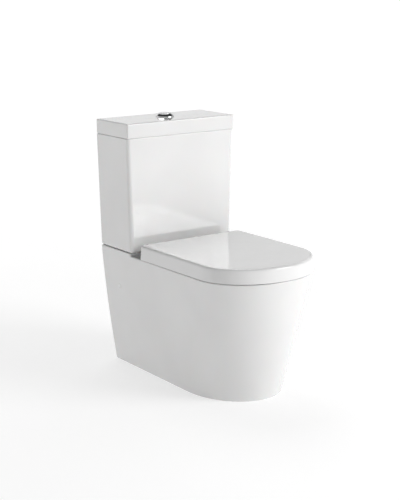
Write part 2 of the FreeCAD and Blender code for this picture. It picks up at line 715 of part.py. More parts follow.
def make_cistern_lid():
    """The lift-off lid: a shadow gap above the rim and a lip that drops inside the tank."""
    body = new_body("cistern_lid")
    crown = value("lid_top")
    slab = feature(body, "Pad", lid_outline(body, "0", "cistern_top + lid_seam"),
                   Length="lid_top - cistern_top - lid_seam")
    upright = fillet(body, slab, "lid_round", lambda e: e.BoundBox.ZLength > 10)
    fillet(body, upright, "lid_round - 0.5", lambda e: all_at(e, crown))
    feature(body, "Pad", lid_outline(body, "lid_step", "cistern_top"), Length="lid_seam")
    lip = lip_outline(body, "0", "cistern_top - lid_lip")
    feature(body, "Pad", lip, Length="lid_lip + 0.5")
    hollow = lip_outline(body, "lid_lip_wall", "cistern_top - lid_lip - 1")
    depth = "lid_top - lid_plate - cistern_top + lid_lip + 1"
    pocket = feature(body, "Pocket", hollow, Length=depth)
    pocket.Reversed = True
    hole = sketch_on(body, "XY_Plane", "lid_top + 1")
    circle(hole, "0", at_wall("valve_from_wall"), "bezel_tube + 0.5")
    feature(body, "Pocket", hole, Length="lid_plate + 2")
    return node("cistern_lid", body)


# ---------------------------------------------------------------- flush button

def make_button():
    """The chrome bezel, its nut, the two sprung buttons and their push rods."""
    rest = "lid_top + bezel_rise"
    bore = "button_radius + slide_fit"
    bezel = turned("button_bezel", [
        (bore, "lid_top - bezel_length"), ("bezel_tube", "lid_top - bezel_length"),
        ("bezel_tube", "lid_top"), ("bezel_radius", "lid_top"),
        ("bezel_radius", "lid_top + bezel_edge"), ("bezel_crown", rest), (bore, rest)])
    node("button_bezel", bezel)
    node("button_nut", ring("button_nut", "bezel_tube", "bezel_tube + 8",
                            "lid_top - lid_plate - 10", "lid_top - lid_plate"))
    low, high = "lid_top + button_rise - button_height", "lid_top + button_rise"
    y = at_wall("valve_from_wall")
    reach = "2 * button_radius"
    halves = {"full": ("button_split - 2 * button_radius", "button_split - 0.3"),
              "half": ("button_split + 0.3", "button_split + 2 * button_radius")}
    for name, span in halves.items():
        disc = cylinder(name + "_disc", "Z", "button_radius", low, "button_height", y=y)
        slab = block(name + "_slab", span, (y + " - " + reach, y + " + " + reach), (low, high))
        half = doc.addObject("Part::Common", name + "_half_disc")
        half.Base = disc
        half.Tool = slab
        doc.recompute()
        crown = value(high)
        edges = [(i, 1.0, 1.0) for i, e in enumerate(half.Shape.Edges, start=1)
                 if all_at(e, crown)]
        rounded = doc.addObject("Part::Fillet", name + "_rounded")
        rounded.Base = half
        rounded.Edges = edges
        node(name + "_flush_button", rounded)


# ---------------------------------------------------------------- push rods and flush valve

def make_push_rods():
    """The rods that hang from the buttons and stop just above the valve's plungers."""
    high = "lid_top + button_rise - button_height"
    low = "tower_top + plunger_rise + joint_gap"
    for name, sign in (("full", "-"), ("half", "")):
        rod = cylinder(name + "_rod", "Z", "rod_radius", low, "(%s) - (%s)" % (high, low),
                       x=sign + "rod_offset", y=at_wall("valve_from_wall"))
        node(name + "_push_rod", rod)


def make_flush_valve():
    """The dual flush valve: threaded base, cage and tower, overflow tube, seal and plungers."""
    floor = "platform_top + cistern_floor"
    base = "%s + washer_height" % floor
    flange = "stem_radius + 12"
    body = turned("flush_valve_base", [
        ("stem_bore", "stem_bottom"), ("stem_radius", "stem_bottom"), ("stem_radius", base),
        (flange, base), (flange, base + " + 4"), ("stem_radius + 3", base + " + 4"),
        ("stem_radius + 3", "valve_seat"), ("stem_bore + 3", "valve_seat")])
    ribs = sketch_on(body, "XY_Plane", base + " + 3")
    rectangle(ribs, "tower_radius - tower_wall", "-3", flange, "3")
    post = feature(body, "Pad", ribs, Length="tower_low - (%s) - 3" % base)
    pattern = body.newObject("PartDesign::PolarPattern", "flush_valve_cage")
    pattern.Originals = [post]
    axis = next(f for f in body.Origin.OriginFeatures if f.Role == "Z_Axis")
    pattern.Axis = (axis, [""])
    pattern.Angle = 360
    pattern.Occurrences = 4
    body.Tip = pattern
    doc.recompute()
    node("flush_valve_base", body)

    lower = "tower_low"
    under = "tower_top - tower_wall"
    inner = "tower_radius - tower_wall"
    tower = turned("flush_valve_tower", [
        (inner, lower), (flange, lower), (flange, lower + " + tower_wall"),
        ("tower_radius", lower + " + tower_wall"), ("tower_radius", "tower_top"),
        ("overflow_radius + slide_fit", "tower_top"), ("overflow_radius + slide_fit", under),
        (inner, under)])
    guides = sketch_on(tower, "XY_Plane", "tower_top + 1")
    for sign in ("-", ""):
        circle(guides, sign + "rod_offset", "0", "plunger_radius + slide_fit")
    feature(tower, "Pocket", guides, Length="tower_wall + 2")
    node("flush_valve_tower", tower)

    seal_top = "valve_seat + joint_gap + seal_height"
    tube = turned("overflow_tube", [
        ("overflow_radius - 2", "valve_seat - 8"), ("overflow_radius", "valve_seat - 8"),
        ("overflow_radius", seal_top), ("stem_radius - 1", seal_top),
        ("stem_radius - 1", seal_top + " + 3"), ("overflow_radius", seal_top + " + 3"),
        ("overflow_radius", "overflow_top"), ("overflow_radius - 2", "overflow_top")])
    node("overflow_tube", tube)
    node("flush_seal", ring("flush_seal", "overflow_radius", "stem_radius",
                            "valve_seat + joint_gap", seal_top))
    node("half_flush_float", ring("half_flush_float", "overflow_radius + slide_fit",
                                  "tower_radius - tower_wall - 3", "tower_low + 20",
                                  "tower_low + 60"))
    for name, sign in (("full", "-"), ("half", "")):
        plunger = cylinder(name + "_plunger_pin", "Z", "plunger_radius",
                           "tower_top - plunger_drop", "plunger_drop + plunger_rise",
                           x=sign + "rod_offset", y=at_wall("valve_from_wall"))
        node(name + "_flush_plunger", plunger)

    node("flush_valve_washer", ring("flush_valve_washer", "stem_radius + 0.2", flange, floor, base))
    node("flush_valve_nut", ring("flush_valve_nut", "stem_radius", "stem_radius + 9",
                                 "platform_top - 12", "platform_top"))
    node("close_coupling_seal", ring("close_coupling_seal", "stem_radius + 9.3",
                                     "recess_radius - joint_gap",
                                     "platform_top - recess_depth + joint_gap", "platform_top"))


# ---------------------------------------------------------------- fill valve

def make_fill_valve():
    """The bottom-entry fill valve with its float, float rod and float arm."""
    floor = "platform_top + cistern_floor"
    base = floor + " + washer_height"
    y = at_wall("valve_from_wall")
    nut_low = "platform_top - tail_nut_height"
    pivot = "fill_x - arm_offset"
    column = turned("fill_valve_body", [
        ("0", "tail_bottom"), ("tail_radius", "tail_bottom"),
        ("tail_radius", nut_low), ("tail_radius - 0.2", nut_low),
        ("tail_radius - 0.2", base),
        ("tail_radius + 9", base), ("tail_radius + 9", base + " + 5"),
        ("column_radius", base + " + 5"), ("column_radius", "head_low"),
        ("head_radius", "head_low"), ("head_radius", "head_top"), ("0", "head_top")],
        x="fill_x")
    doc.recompute()
    ears = []
    for sign, name in (("-", "front"), ("+", "back")):
        near = "arm_width / 2 + slide_fit"
        far = near + " + ear_thick"
        span = [y + " %s (%s)" % (sign, near), y + " %s (%s)" % (sign, far)]
        ears.append(block("fill_ear_" + name, (pivot + " - ear_half", pivot + " + ear_half"),
                          tuple(sorted(span, key=value)),
                          ("head_top - 1", "arm_height + ear_half")))
    bore = cylinder("fill_inlet_bore", "Z", "tail_radius - 3", "tail_bottom - 1", "60",
                    x="fill_x", y=y)
    pin_hole = cylinder("arm_pin_hole", "Y", "arm_pin_radius", y + " - arm_width",
                        "2 * arm_width", x=pivot, z="arm_height")
    node("fill_valve_body", cut("fill_valve", fused("fill_valve_solid", [column] + ears),
                                [bore, pin_hole]))
    node("fill_valve_washer", ring("fill_valve_washer", "tail_radius + 0.2", "tail_radius + 9",
                                   floor, base, x="fill_x"))
    node("fill_valve_nut", ring("fill_valve_nut", "tail_radius - 0.2", "tail_radius + 7",
                                nut_low, "platform_top", x="fill_x"))
    node("float_arm_pin", cylinder("arm_pin", "Y", "arm_pin_radius",
                                   y + " - arm_width / 2 - slide_fit - ear_thick",
                                   "arm_width + 2 * slide_fit + 2 * ear_thick", x=pivot,
                                   z="arm_height"))

    float_ring = ring("float_ring", "column_radius + slide_fit", "float_radius", "float_low",
                      "float_low + float_height", x="fill_x")
    node("fill_valve_float", float_ring)
    rod_x = pivot + " + arm_length"
    reach = "arm_thick / 2 + collar_gap"
    rod = cylinder("float_rod_stem", "Z", "float_rod_radius", "float_low + float_height",
                   "arm_height + %s + collar_height - float_low - float_height" % reach,
                   x=rod_x, y=y)
    collars = [cylinder("float_rod_collar_" + name, "Z", "float_rod_radius + 2", start,
                        "collar_height", x=rod_x, y=y)
               for name, start in (("low", "arm_height - (%s) - collar_height" % reach),
                                   ("high", "arm_height + " + reach))]
    node("float_rod", fused("float_rod_solid", [rod] + collars))

    arm = block("arm_bar", (pivot, rod_x + " + arm_offset"),
                (y + " - arm_width / 2", y + " + arm_width / 2"),
                ("arm_height - arm_thick / 2", "arm_height + arm_thick / 2"))
    boss = cylinder("arm_boss", "Y", "arm_thick / 2 + 1", y + " - arm_width / 2", "arm_width",
                    x=pivot, z="arm_height")
    slot = block("arm_slot", (rod_x + " - 2 * float_rod_radius", rod_x + " + arm_offset + 1"),
                 (y + " - float_rod_radius - slide_fit", y + " + float_rod_radius + slide_fit"),
                 ("arm_height - arm_thick", "arm_height + arm_thick"))
    pin_bore = cylinder("arm_pin_bore", "Y", "arm_pin_radius + running_fit",
                        y + " - arm_width", "2 * arm_width", x=pivot, z="arm_height")
    node("float_arm", cut("float_arm_cut", fused("float_arm_solid", [arm, boss]),
                          [slot, pin_bore]))


# ---------------------------------------------------------------- fasteners

def hex_prism(body, radius, low, length, name):
    """A hexagonal pad about the body's own axis, with the given corner radius."""
    sketch = sketch_on(body, "XY_Plane", low)
    corners = [("(%s) * %.6f" % (radius, math.cos(math.radians(60 * i))),
                "(%s) * %.6f" % (radius, math.sin(math.radians(60 * i)))) for i in range(6)]
    polygon(sketch, corners)
    return feature(body, "Pad", sketch, Length=length)


def make_bolt(label, x, from_wall, head_low, low):
    """A pair of hexagon-headed bolts."""
    body = ring(label, "0", "bolt_radius", low, head_low, x=x, from_wall=from_wall)
    hex_prism(body, "bolt_head_radius", head_low, "bolt_head_height", label)
    return pair(label, body)


def make_wing_nut(label, x, from_wall, top):
    """A pair of wing nuts screwed up against a washer."""
    low = top + " - wing_height"
    body = ring(label, "bolt_radius", "bolt_radius + wing_hub", low, top, x=x,
                from_wall=from_wall)
    for sign in ("-", ""):
        sketch = sketch_on(body, "XZ_Plane", "-wing_thick / 2")
        root, tip = sign + "(bolt_radius + wing_hub - 1)", sign + "(bolt_radius + wing_span)"
        polygon(sketch, [(root, low), (tip, low + " - 5"), (tip, low + " + 4"),
                         (root, top + " - 1")])
        feature(body, "Pad", sketch, Length="wing_thick")
    return pair(label, body)


def make_coupling():
    """The bolts that clamp the cistern to the pan, with their washers and wing nuts."""
    floor = "platform_top + cistern_floor"
    make_bolt("coupling_bolts", "bolt_half", "valve_from_wall", floor + " + washer_height",
              "rim_under - 25")
    pair("coupling_rubber_washers",
         ring("coupling_rubber_washer", "bolt_radius", "bolt_radius + 9", floor,
              floor + " + washer_height", x="bolt_half"))
    pair("coupling_steel_washers",
         ring("coupling_steel_washer", "bolt_radius", "bolt_radius + 8", "rim_under - 2",
              "rim_under", x="bolt_half"))
    make_wing_nut("coupling_wing_nuts", "bolt_half", "valve_from_wall", "rim_under - 2")


# ---------------------------------------------------------------- seat, seat lid and hinge

def cover_section(height, inset, rear, top=False):
    """The seat lid's outline at its lower edge or its top, moved inwards by an inset."""
    half = value("cover_top_half" if top else "cover_half") - inset
    front = -REAR + inset + (value("cover_taper") if top else 0.0)
    corner = max(value("cover_corner") - inset, 1.0)
    return plan_outline(height, half, half, rear, front, value("rim_bulge") - inset, corner)


def make_seat_lid():
    """The lid: a shallow inverted tray, open at the back, with knuckles under its top."""
    low, top = value("cover_low"), value("cover_top")
    rear = REAR - value("cover_rear")
    shell = Part.makeLoft([cover_section(low, 0.0, rear), cover_section(top, 0.0, rear, True)],
                          True, False)
    shell = shell.makeFillet(value("cover_round"), [e for e in shell.Edges if all_at(e, top)])
    wall, ceiling = value("cover_wall"), top - value("cover_plate")
    share = (ceiling - low) / (top - low)
    inner = Part.makeLoft([cover_section(low - 1, wall, rear + 60),
                           cover_section(ceiling, wall + share * value("cover_taper"), rear + 60)],
                          True, False)
    relief = block("cover_relief_box", ("-2 * cover_half", "2 * cover_half"),
                   (at_wall("hinge_from_wall"), at_wall("0")),
                   ("cover_low - 20", "hinge_height"))
    sweep = cylinder("cover_relief_round", "X", "hinge_height - rim_top - 0.7",
                     "-2 * cover_half", "4 * cover_half", y=at_wall("hinge_from_wall"),
                     z="hinge_height")
    tray = cut("seat_lid_tray", shaped("seat_lid_shell", shell),
               [shaped("seat_lid_hollow", inner), cut("cover_relief", relief, [sweep])])
    y, z = at_wall("hinge_from_wall"), "hinge_height"
    solids = [tray]
    bores = []
    for side, sign in (("left", "-"), ("right", "")):
        near = "hinge_half + post_width / 2 + joint_gap"
        span = ("-(%s) - knuckle_width" % near if sign else near)
        far = "(%s) + knuckle_width" % span
        solids.append(cylinder("lid_knuckle_" + side, "X", "knuckle_radius", span,
                               "knuckle_width", y=y, z=z))
        solids.append(block("lid_web_" + side, (span, far),
                            (y + " - knuckle_radius", y + " + knuckle_radius"),
                            (z, "cover_top - cover_plate + 0.5")))
        bores.append(cylinder("lid_bore_" + side, "X", "pin_radius + running_fit",
                              span + " - 1", "knuckle_width + 2", y=y, z=z))
    node("seat_lid", cut("seat_lid_cut", fused("seat_lid_solid", solids), bores))


def make_seat():
    """The seat ring with rounded edges and the knuckles behind it."""
    low, top, inset = value("seat_low"), value("seat_top"), value("seat_inset")
    half = value("cover_half") - inset
    rear = REAR - value("hinge_from_wall") - value("seat_gap")
    outline = plan_outline(low, half, half, rear, inset - REAR, value("rim_bulge") - inset,
                           value("cover_corner"))
    rise = Vector(0, 0, top - low)
    disc = Part.Face(outline).extrude(rise)
    middle = REAR - value("seat_hole_middle")
    hole = Part.Face(oval(low, middle, value("seat_hole_half"), value("seat_hole_reach")))
    plate = disc.cut(hole.extrude(rise))
    plate = plate.makeFillet(value("seat_round"), [e for e in plate.Edges if all_at(e, top)])
    plate = plate.makeFillet(value("seat_under_round"), [e for e in plate.Edges if all_at(e, low)])
    y, z = at_wall("hinge_from_wall"), "hinge_height"
    solids = [shaped("seat_ring", plate)]
    bores = []
    for side, sign in (("left", "-"), ("right", "")):
        near = "hinge_half - post_width / 2 - joint_gap - knuckle_width"
        span = "-(%s) - knuckle_width" % near if sign else near
        far = "(%s) + knuckle_width" % span
        solids.append(cylinder("seat_knuckle_" + side, "X", "knuckle_radius", span,
                               "knuckle_width", y=y, z=z))
        solids.append(block("seat_web_" + side, (span, far), (y + " - seat_gap - 8", y),
                            ("hinge_height - knuckle_radius", "seat_top - 4")))
        bores.append(cylinder("seat_bore_" + side, "X", "pin_radius + running_fit",
                              span + " - 1", "knuckle_width + 2", y=y, z=z))
    node("seat", cut("seat_cut", fused("seat_solid", solids), bores))


def make_buffers():
    """Rubber buffers under the seat and between the seat lid and the seat."""
    def group(label, low, high, places):
        links = []
        for name, x, from_wall in places:
            for side, sign in (("left", "-"), ("right", "")):
                links.append(cylinder("%s_%s_%s" % (label, name, side), "Z", "buffer_radius",
                                      low, "(%s) - (%s)" % (high, low), x=sign + x,
                                      y=at_wall(from_wall)))
        item = doc.addObject("Part::Compound", label + "_group")
        item.Links = links
        return node(label, item)

    rear = ("rear", "seat_hole_half + 30", "hinge_from_wall + 60")
    group("seat_buffers", "rim_top + joint_gap", "seat_low",
          [rear, ("front", "seat_hole_half * 0.5", "depth - 35")])
    group("seat_lid_buffers", "seat_top + joint_gap", "cover_top - cover_plate",
          [("rear", "seat_hole_half + 32", "hinge_from_wall + 90"),
           ("front", "seat_hole_half * 0.4", "depth - 38")])


def make_hinge():
    """Hinge posts with their pins, bolts, rubber washers and wing nuts."""
    y, z = at_wall("hinge_from_wall"), "hinge_height"
    near, far = "hinge_half - post_width / 2", "hinge_half + post_width / 2"
    foot = cylinder("post_foot", "Z", "post_foot_radius", "rim_top", "post_foot_height",
                    x="hinge_half", y=y)
    column = block("post_column", (near, far),
                   (y + " - knuckle_radius", y + " + knuckle_radius"), ("rim_top", z))
    head = cylinder("post_head", "X", "knuckle_radius", near, "post_width", y=y, z=z)
    holes = [cylinder("post_pin_hole", "X", "pin_radius", near + " - 1", "post_width + 2",
                      y=y, z=z),
             cylinder("post_bolt_hole", "Z", "bolt_radius", "rim_top - 1", "13",
                      x="hinge_half", y=y)]
    pair("hinge_posts", cut("hinge_post", fused("hinge_post_solid", [foot, column, head]), holes))
    start = near + " - knuckle_width - 1"
    pair("hinge_pins", cylinder("hinge_pin", "X", "pin_radius", start,
                                "post_width + 2 * knuckle_width + 2", y=y, z=z))
    pair("hinge_bolts", ring("hinge_bolt", "0", "bolt_radius", "rim_under - 28",
                             "rim_top + 12", x="hinge_half", from_wall="hinge_from_wall"))
    pair("hinge_rubber_washers",
         ring("hinge_rubber_washer", "bolt_radius", "bolt_radius + 9", "rim_under - 4",
              "rim_under", x="hinge_half", from_wall="hinge_from_wall"))
    make_wing_nut("hinge_wing_nuts", "hinge_half", "hinge_from_wall", "rim_under - 4")


# ---------------------------------------------------------------- build and export

def export_all():
    """Check every object, then write each node's STEP file."""
    doc.recompute()
    for item in doc.Objects:
        if "Invalid" in item.State or "Error" in item.State:
            raise RuntimeError("%s failed: %s" % (item.Name, item.State))
    for label, item in NODES.items():
        if item.Shape.isNull() or not item.Shape.isValid() or not item.Shape.Solids:
            raise RuntimeError("%s has no valid solid" % label)
    os.makedirs("parts", exist_ok=True)
    for label, item in NODES.items():
        item.Shape.exportStep("parts/%s.step" % label)
        print("%-26s %2d solid(s) %12.1f mm3" % (label, len(item.Shape.Solids), item.Shape.Volume))


def main():
    for build in (make_pan, make_side_fixings, make_cistern, make_cistern_lid, make_button,
                  make_push_rods, make_flush_valve, make_fill_valve, make_coupling,
                  make_seat_lid, make_seat, make_buffers, make_hinge):
        build()
    export_all()


main()
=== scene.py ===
import json
import logging
import math
from dataclasses import dataclass
from enum import Enum
from typing import Callable, Optional, Protocol, Sequence

import bmesh
import bpy
from mathutils import Euler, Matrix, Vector


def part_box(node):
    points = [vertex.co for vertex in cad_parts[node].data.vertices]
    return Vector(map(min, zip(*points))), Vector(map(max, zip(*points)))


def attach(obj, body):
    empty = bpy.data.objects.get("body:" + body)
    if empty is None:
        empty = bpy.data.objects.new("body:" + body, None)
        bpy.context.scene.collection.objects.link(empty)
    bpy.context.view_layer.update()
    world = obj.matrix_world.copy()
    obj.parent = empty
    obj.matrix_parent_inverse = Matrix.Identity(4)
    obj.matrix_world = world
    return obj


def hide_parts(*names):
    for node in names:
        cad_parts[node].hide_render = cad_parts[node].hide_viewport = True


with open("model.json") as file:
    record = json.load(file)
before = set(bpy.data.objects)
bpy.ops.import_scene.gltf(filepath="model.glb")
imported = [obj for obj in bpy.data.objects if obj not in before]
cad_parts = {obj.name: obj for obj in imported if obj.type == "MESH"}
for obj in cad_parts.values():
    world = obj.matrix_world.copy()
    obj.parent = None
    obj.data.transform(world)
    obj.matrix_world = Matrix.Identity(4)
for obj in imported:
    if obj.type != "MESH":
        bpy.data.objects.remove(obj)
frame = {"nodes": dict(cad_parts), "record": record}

log = logging.getLogger("toilet_suite")

Colour = tuple[float, float, float, float]
Piece = bpy.types.Object
Node = bpy.types.ShaderNode
Socket = bpy.types.NodeSocket

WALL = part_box("cistern")[1].y
MM = 0.001
SAME_PLACE = 0.001 * MM
ON_LINE = 0.01 * MM
CIRCLE_STEPS = 96
CORNER_STEPS = 6
CAST_ANGLE = 32.0
TURNED_ANGLE = 40.0
PATH_STEPS = 48


def from_wall(distance: float) -> float:
    """Turn a distance in front of the wall, in metres, into a Y place."""
    return WALL - distance


@dataclass(frozen=True)
class Places:
    """Axes and holes that several pieces share."""

    valve: float = from_wall(0.085)
    fill_valve_x: float = -0.130
    bolt_half: float = 0.085
    bolt_hole: float = 0.0055
    hinge: float = from_wall(0.232)
    hinge_height: float = 0.3915
    hinge_half: float = 0.0775
    side_screw: float = from_wall(0.084)
    side_screw_height: float = 0.261
    outlet_height: float = 0.185


PLACES = Places()


def arc(radius: float, steps: int = 5) -> list[tuple[float, float]]:
    """List the stations of a quarter round, from its foot to its top.

    Args:
        radius: Radius of the round.
        steps: Number of facets.

    Returns:
        Pairs of how far in and how far up each station lies.
    """
    turns = [math.pi / 2 * i / steps for i in range(steps + 1)]
    return [(radius * (1 - math.cos(turn)), radius * math.sin(turn)) for turn in turns]


def sole(low: float, radius: float, steps: int = 5) -> list[tuple[float, float]]:
    """List the height and inset of each station round a lower edge, upwards.

    Args:
        low: Height of the lowest face.
        radius: Radius of the round.
        steps: Number of facets.

    Returns:
        Pairs of height and inset.
    """
    return [(low + radius - drop, inset) for inset, drop in reversed(arc(radius, steps))]


def crown(top: float, radius: float, steps: int = 5) -> list[tuple[float, float]]:
    """List the height and inset of each station round an upper edge, upwards.

    Args:
        top: Height of the highest face.
        radius: Radius of the round.
        steps: Number of facets.

    Returns:
        Pairs of height and inset.
    """
    return [(top - radius + rise, inset) for inset, rise in arc(radius, steps)]


def through(stations: Sequence[tuple[float, float]], place: float) -> float:
    """Read a smooth curve that passes through a few stations.

    Args:
        stations: Pairs of place and value.
        place: Where to read it.

    Returns:
        The value there.
    """
    total = 0.0
    for i, (at, value) in enumerate(stations):
        for j, (other, _) in enumerate(stations):
            if i != j:
                value *= (place - other) / (at - other)
        total += value
    return total


# ------------------------------------------------------------------ bench


class Join(Enum):
    """How a tool is joined with a piece."""

    ADD = "UNION"
    CARVE = "DIFFERENCE"


class Axis(Enum):
    """An axis that a profile is turned about."""

    X = (1.0, 0.0, 0.0)
    Y = (0.0, 1.0, 0.0)
    Z = (0.0, 0.0, 1.0)


class Bench:
    """Blender's modelling tools, each used on one piece at a time."""

    @staticmethod
    def clear() -> None:
        """Leave edit mode and drop the selection."""
        if bpy.context.mode != "OBJECT":
            bpy.ops.object.mode_set(mode="OBJECT")
        bpy.ops.object.select_all(action="DESELECT")

    @classmethod
    def focus(cls, piece: Piece) -> None:
        """Select one piece and make it the active one."""
        cls.clear()
        piece.select_set(True)
        bpy.context.view_layer.objects.active = piece

    @classmethod
    def edit(cls, piece: Piece) -> None:
        """Open one piece in edit mode with nothing selected."""
        cls.focus(piece)
        bpy.ops.object.mode_set(mode="EDIT")
        bpy.ops.mesh.select_mode(type="VERT")
        bpy.ops.mesh.select_all(action="DESELECT")

    @staticmethod
    def pick(test: Callable[[Vector], bool]) -> int:
        """Select the vertices whose place passes a test.

        Args:
            test: Takes a place and says whether to select it.

        Returns:
            How many were selected.
        """
        mesh = bmesh.from_edit_mesh(bpy.context.object.data)
        for vertex in mesh.verts:
            vertex.select_set(test(vertex.co))
        mesh.select_flush_mode()
        bmesh.update_edit_mesh(bpy.context.object.data)
        return sum(vertex.select for vertex in mesh.verts)

    @staticmethod
    def pick_edges(test: Callable[[Vector, Vector], bool]) -> int:
        """Select the edges whose two ends pass a test.

        Args:
            test: Takes both ends' places and says whether to select the edge.

        Returns:
            How many were selected.
        """
        bpy.ops.mesh.select_mode(type="EDGE")
        mesh = bmesh.from_edit_mesh(bpy.context.object.data)
        for edge in mesh.edges:
            edge.select_set(False)
        chosen = [edge for edge in mesh.edges if test(edge.verts[0].co, edge.verts[1].co)]
        for edge in chosen:
            edge.select_set(True)
        bmesh.update_edit_mesh(bpy.context.object.data)
        return len(chosen)

    @classmethod
    def settle(cls, piece: Piece) -> Piece:
        """Move a piece's place and turn into its mesh."""
        cls.focus(piece)
        bpy.ops.object.transform_apply(location=True, rotation=True, scale=True)
        return piece

    @classmethod
    def join(cls, pieces: Sequence[Piece]) -> Piece:
        """Join several pieces into the first one's mesh."""
        cls.clear()
        for piece in pieces:
            piece.select_set(True)
        bpy.context.view_layer.objects.active = pieces[0]
        bpy.ops.object.join()
        return pieces[0]

    @classmethod
    def combine(cls, piece: Piece, tool: Piece, how: Join) -> None:
        """Join a tool with a piece and put the tool away.

        Args:
            piece: The piece that is kept.
            tool: The shape that is added to it or carved out of it.
            how: The kind of join.
        """
        cls.focus(piece)
        bpy.ops.object.modifier_add(type="BOOLEAN")
        modifier = piece.modifiers[-1]
        modifier.operation = how.value
        modifier.solver = "EXACT"
        modifier.object = tool
        bpy.ops.object.modifier_apply(modifier=modifier.name)
        mesh = tool.data
        bpy.data.objects.remove(tool)
        bpy.data.meshes.remove(mesh)

    @classmethod
    def outwards(cls, piece: Piece) -> Piece:
        """Merge doubled vertices and turn every face outwards."""
        cls.edit(piece)
        bpy.ops.mesh.select_all(action="SELECT")
        bpy.ops.mesh.remove_doubles(threshold=SAME_PLACE)
        bpy.ops.mesh.normals_make_consistent(inside=False)
        cls.clear()
        return piece

    @classmethod
    def finish(cls, piece: Piece, angle: float = CAST_ANGLE) -> Piece:
        """Shade a piece smoothly, with its large flat faces kept flat.

        Args:
            piece: The piece to shade.
            angle: Edges sharper than this stay crisp, in degrees.

        Returns:
            The piece.
        """
        cls.focus(piece)
        for group in list(piece.vertex_groups):
            piece.vertex_groups.remove(group)
        bpy.ops.object.shade_smooth_by_angle(angle=math.radians(angle))
        bpy.ops.object.modifier_add(type="WEIGHTED_NORMAL")
        piece.modifiers[-1].keep_sharp = True
        bpy.ops.object.modifier_apply(modifier=piece.modifiers[-1].name)
        cls.clear()
        return piece


# ------------------------------------------------------------------ outlines


class Outline(Protocol):
    """A closed line that a form passes through."""

    def draw(self, height: float) -> Piece:
        """Draw the outline at a height."""


@dataclass(frozen=True)
class Bow:
    """An outline with a square back, straight sides and a rounded front."""

    rear_half: float
    half: float
    rear: float
    front: float
    bulge: float
    corner: float = 0.0

    def inside(self, inset: float, rear_inset: float = 0.0) -> "Bow":
        """Give the same outline moved inwards.

        Args:
            inset: How far the sides and the front move in.
            rear_inset: How far the back moves in.

        Returns:
            The smaller outline.
        """
        corner = max(self.corner - inset, 0.8 * MM) if self.corner else 0.0
        return Bow(self.rear_half - inset, self.half - inset, self.rear - rear_inset,
                   self.front + inset, self.bulge - inset, corner)

    def draw(self, height: float) -> Piece:
        """Draw the outline: half a stretched circle, run back to the rear on both sides."""
        flank = self.front + self.bulge
        bpy.ops.mesh.primitive_circle_add(vertices=CIRCLE_STEPS, radius=1.0, fill_type="NOTHING")
        ring = bpy.context.object
        Bench.edit(ring)
        bpy.ops.mesh.select_all(action="SELECT")
        bpy.ops.transform.resize(value=(self.half, self.bulge, 1.0), center_override=(0, 0, 0))
        bpy.ops.transform.translate(value=(0.0, flank, height))
        Bench.pick(lambda co: co.y > flank + ON_LINE)
        bpy.ops.mesh.delete(type="VERT")
        for side in (1, -1):
            Bench.pick(lambda co: co.y > flank - ON_LINE and co.x * side > 0
                       and abs(abs(co.x) - self.half) < ON_LINE)
            move = (side * (self.rear_half - self.half), self.rear - flank, 0.0)
            bpy.ops.mesh.extrude_vertices_move(TRANSFORM_OT_translate={"value": move})
        Bench.pick(lambda co: co.y > self.rear - ON_LINE)
        bpy.ops.mesh.edge_face_add()
        if self.corner:
            bpy.ops.mesh.bevel(offset=self.corner, segments=CORNER_STEPS, affect="VERTICES")
        Bench.pick_edges(lambda a, b: (a - b).length > 30 * MM)
        bpy.ops.mesh.subdivide(number_cuts=5)
        Bench.clear()
        return ring


@dataclass(frozen=True)
class Slab:
    """A four-sided outline with rounded corners."""

    rear_half: float
    half: float
    rear: float
    front: float
    corner: float
    rear_corner: float

    def inside(self, inset: float, rear_inset: Optional[float] = None) -> "Slab":
        """Give the same outline moved inwards.

        Args:
            inset: How far the sides and the front move in.
            rear_inset: How far the back moves in, if not as far.

        Returns:
            The smaller outline.
        """
        back = inset if rear_inset is None else rear_inset
        return Slab(self.rear_half - inset, self.half - inset, self.rear - back,
                    self.front + inset, max(self.corner - inset, 1.2 * MM),
                    max(self.rear_corner - inset, 0.6 * MM))

    def draw(self, height: float) -> Piece:
        """Draw the outline: a plane's border with its corners rounded."""
        bpy.ops.mesh.primitive_plane_add(size=2.0)
        ring = bpy.context.object
        Bench.edit(ring)
        bpy.ops.mesh.select_all(action="SELECT")
        bpy.ops.mesh.delete(type="ONLY_FACE")
        aside = 10.0
        for end, half, place in ((1.0, self.rear_half, self.rear + aside),
                                 (-1.0, self.half, self.front)):
            Bench.pick(lambda co: abs(co.y - end) < SAME_PLACE)
            bpy.ops.transform.resize(value=(half, 1.0, 1.0), center_override=(0, 0, 0))
            bpy.ops.transform.translate(value=(0.0, place - end, height))
        Bench.pick(lambda co: co.y > aside / 2)
        bpy.ops.transform.translate(value=(0.0, -aside, 0.0))
        middle = (self.rear + self.front) / 2
        for back, radius in ((True, self.rear_corner), (False, self.corner)):
            Bench.pick(lambda co: (co.y > middle) == back)
            bpy.ops.mesh.bevel(offset=radius, segments=CORNER_STEPS, affect="VERTICES")
        Bench.pick_edges(lambda a, b: (a - b).length > 60 * MM)
        bpy.ops.mesh.subdivide(number_cuts=7)
        Bench.clear()
        return ring


@dataclass(frozen=True)
class Oval:
    """An elliptic outline."""

    half: float
    reach: float
    middle: float

    def inside(self, inset: float) -> "Oval":
        """Give the same outline moved inwards."""
        return Oval(self.half - inset, self.reach - inset, self.middle)

    def draw(self, height: float) -> Piece:
        """Draw the outline: a circle stretched along both axes."""
        bpy.ops.mesh.primitive_circle_add(vertices=CIRCLE_STEPS, radius=1.0, fill_type="NOTHING")
        ring = bpy.context.object
        Bench.edit(ring)
        bpy.ops.mesh.select_all(action="SELECT")
        bpy.ops.transform.resize(value=(self.half, self.reach, 1.0), center_override=(0, 0, 0))
        bpy.ops.transform.translate(value=(0.0, self.middle, height))
        Bench.clear()
        return ring


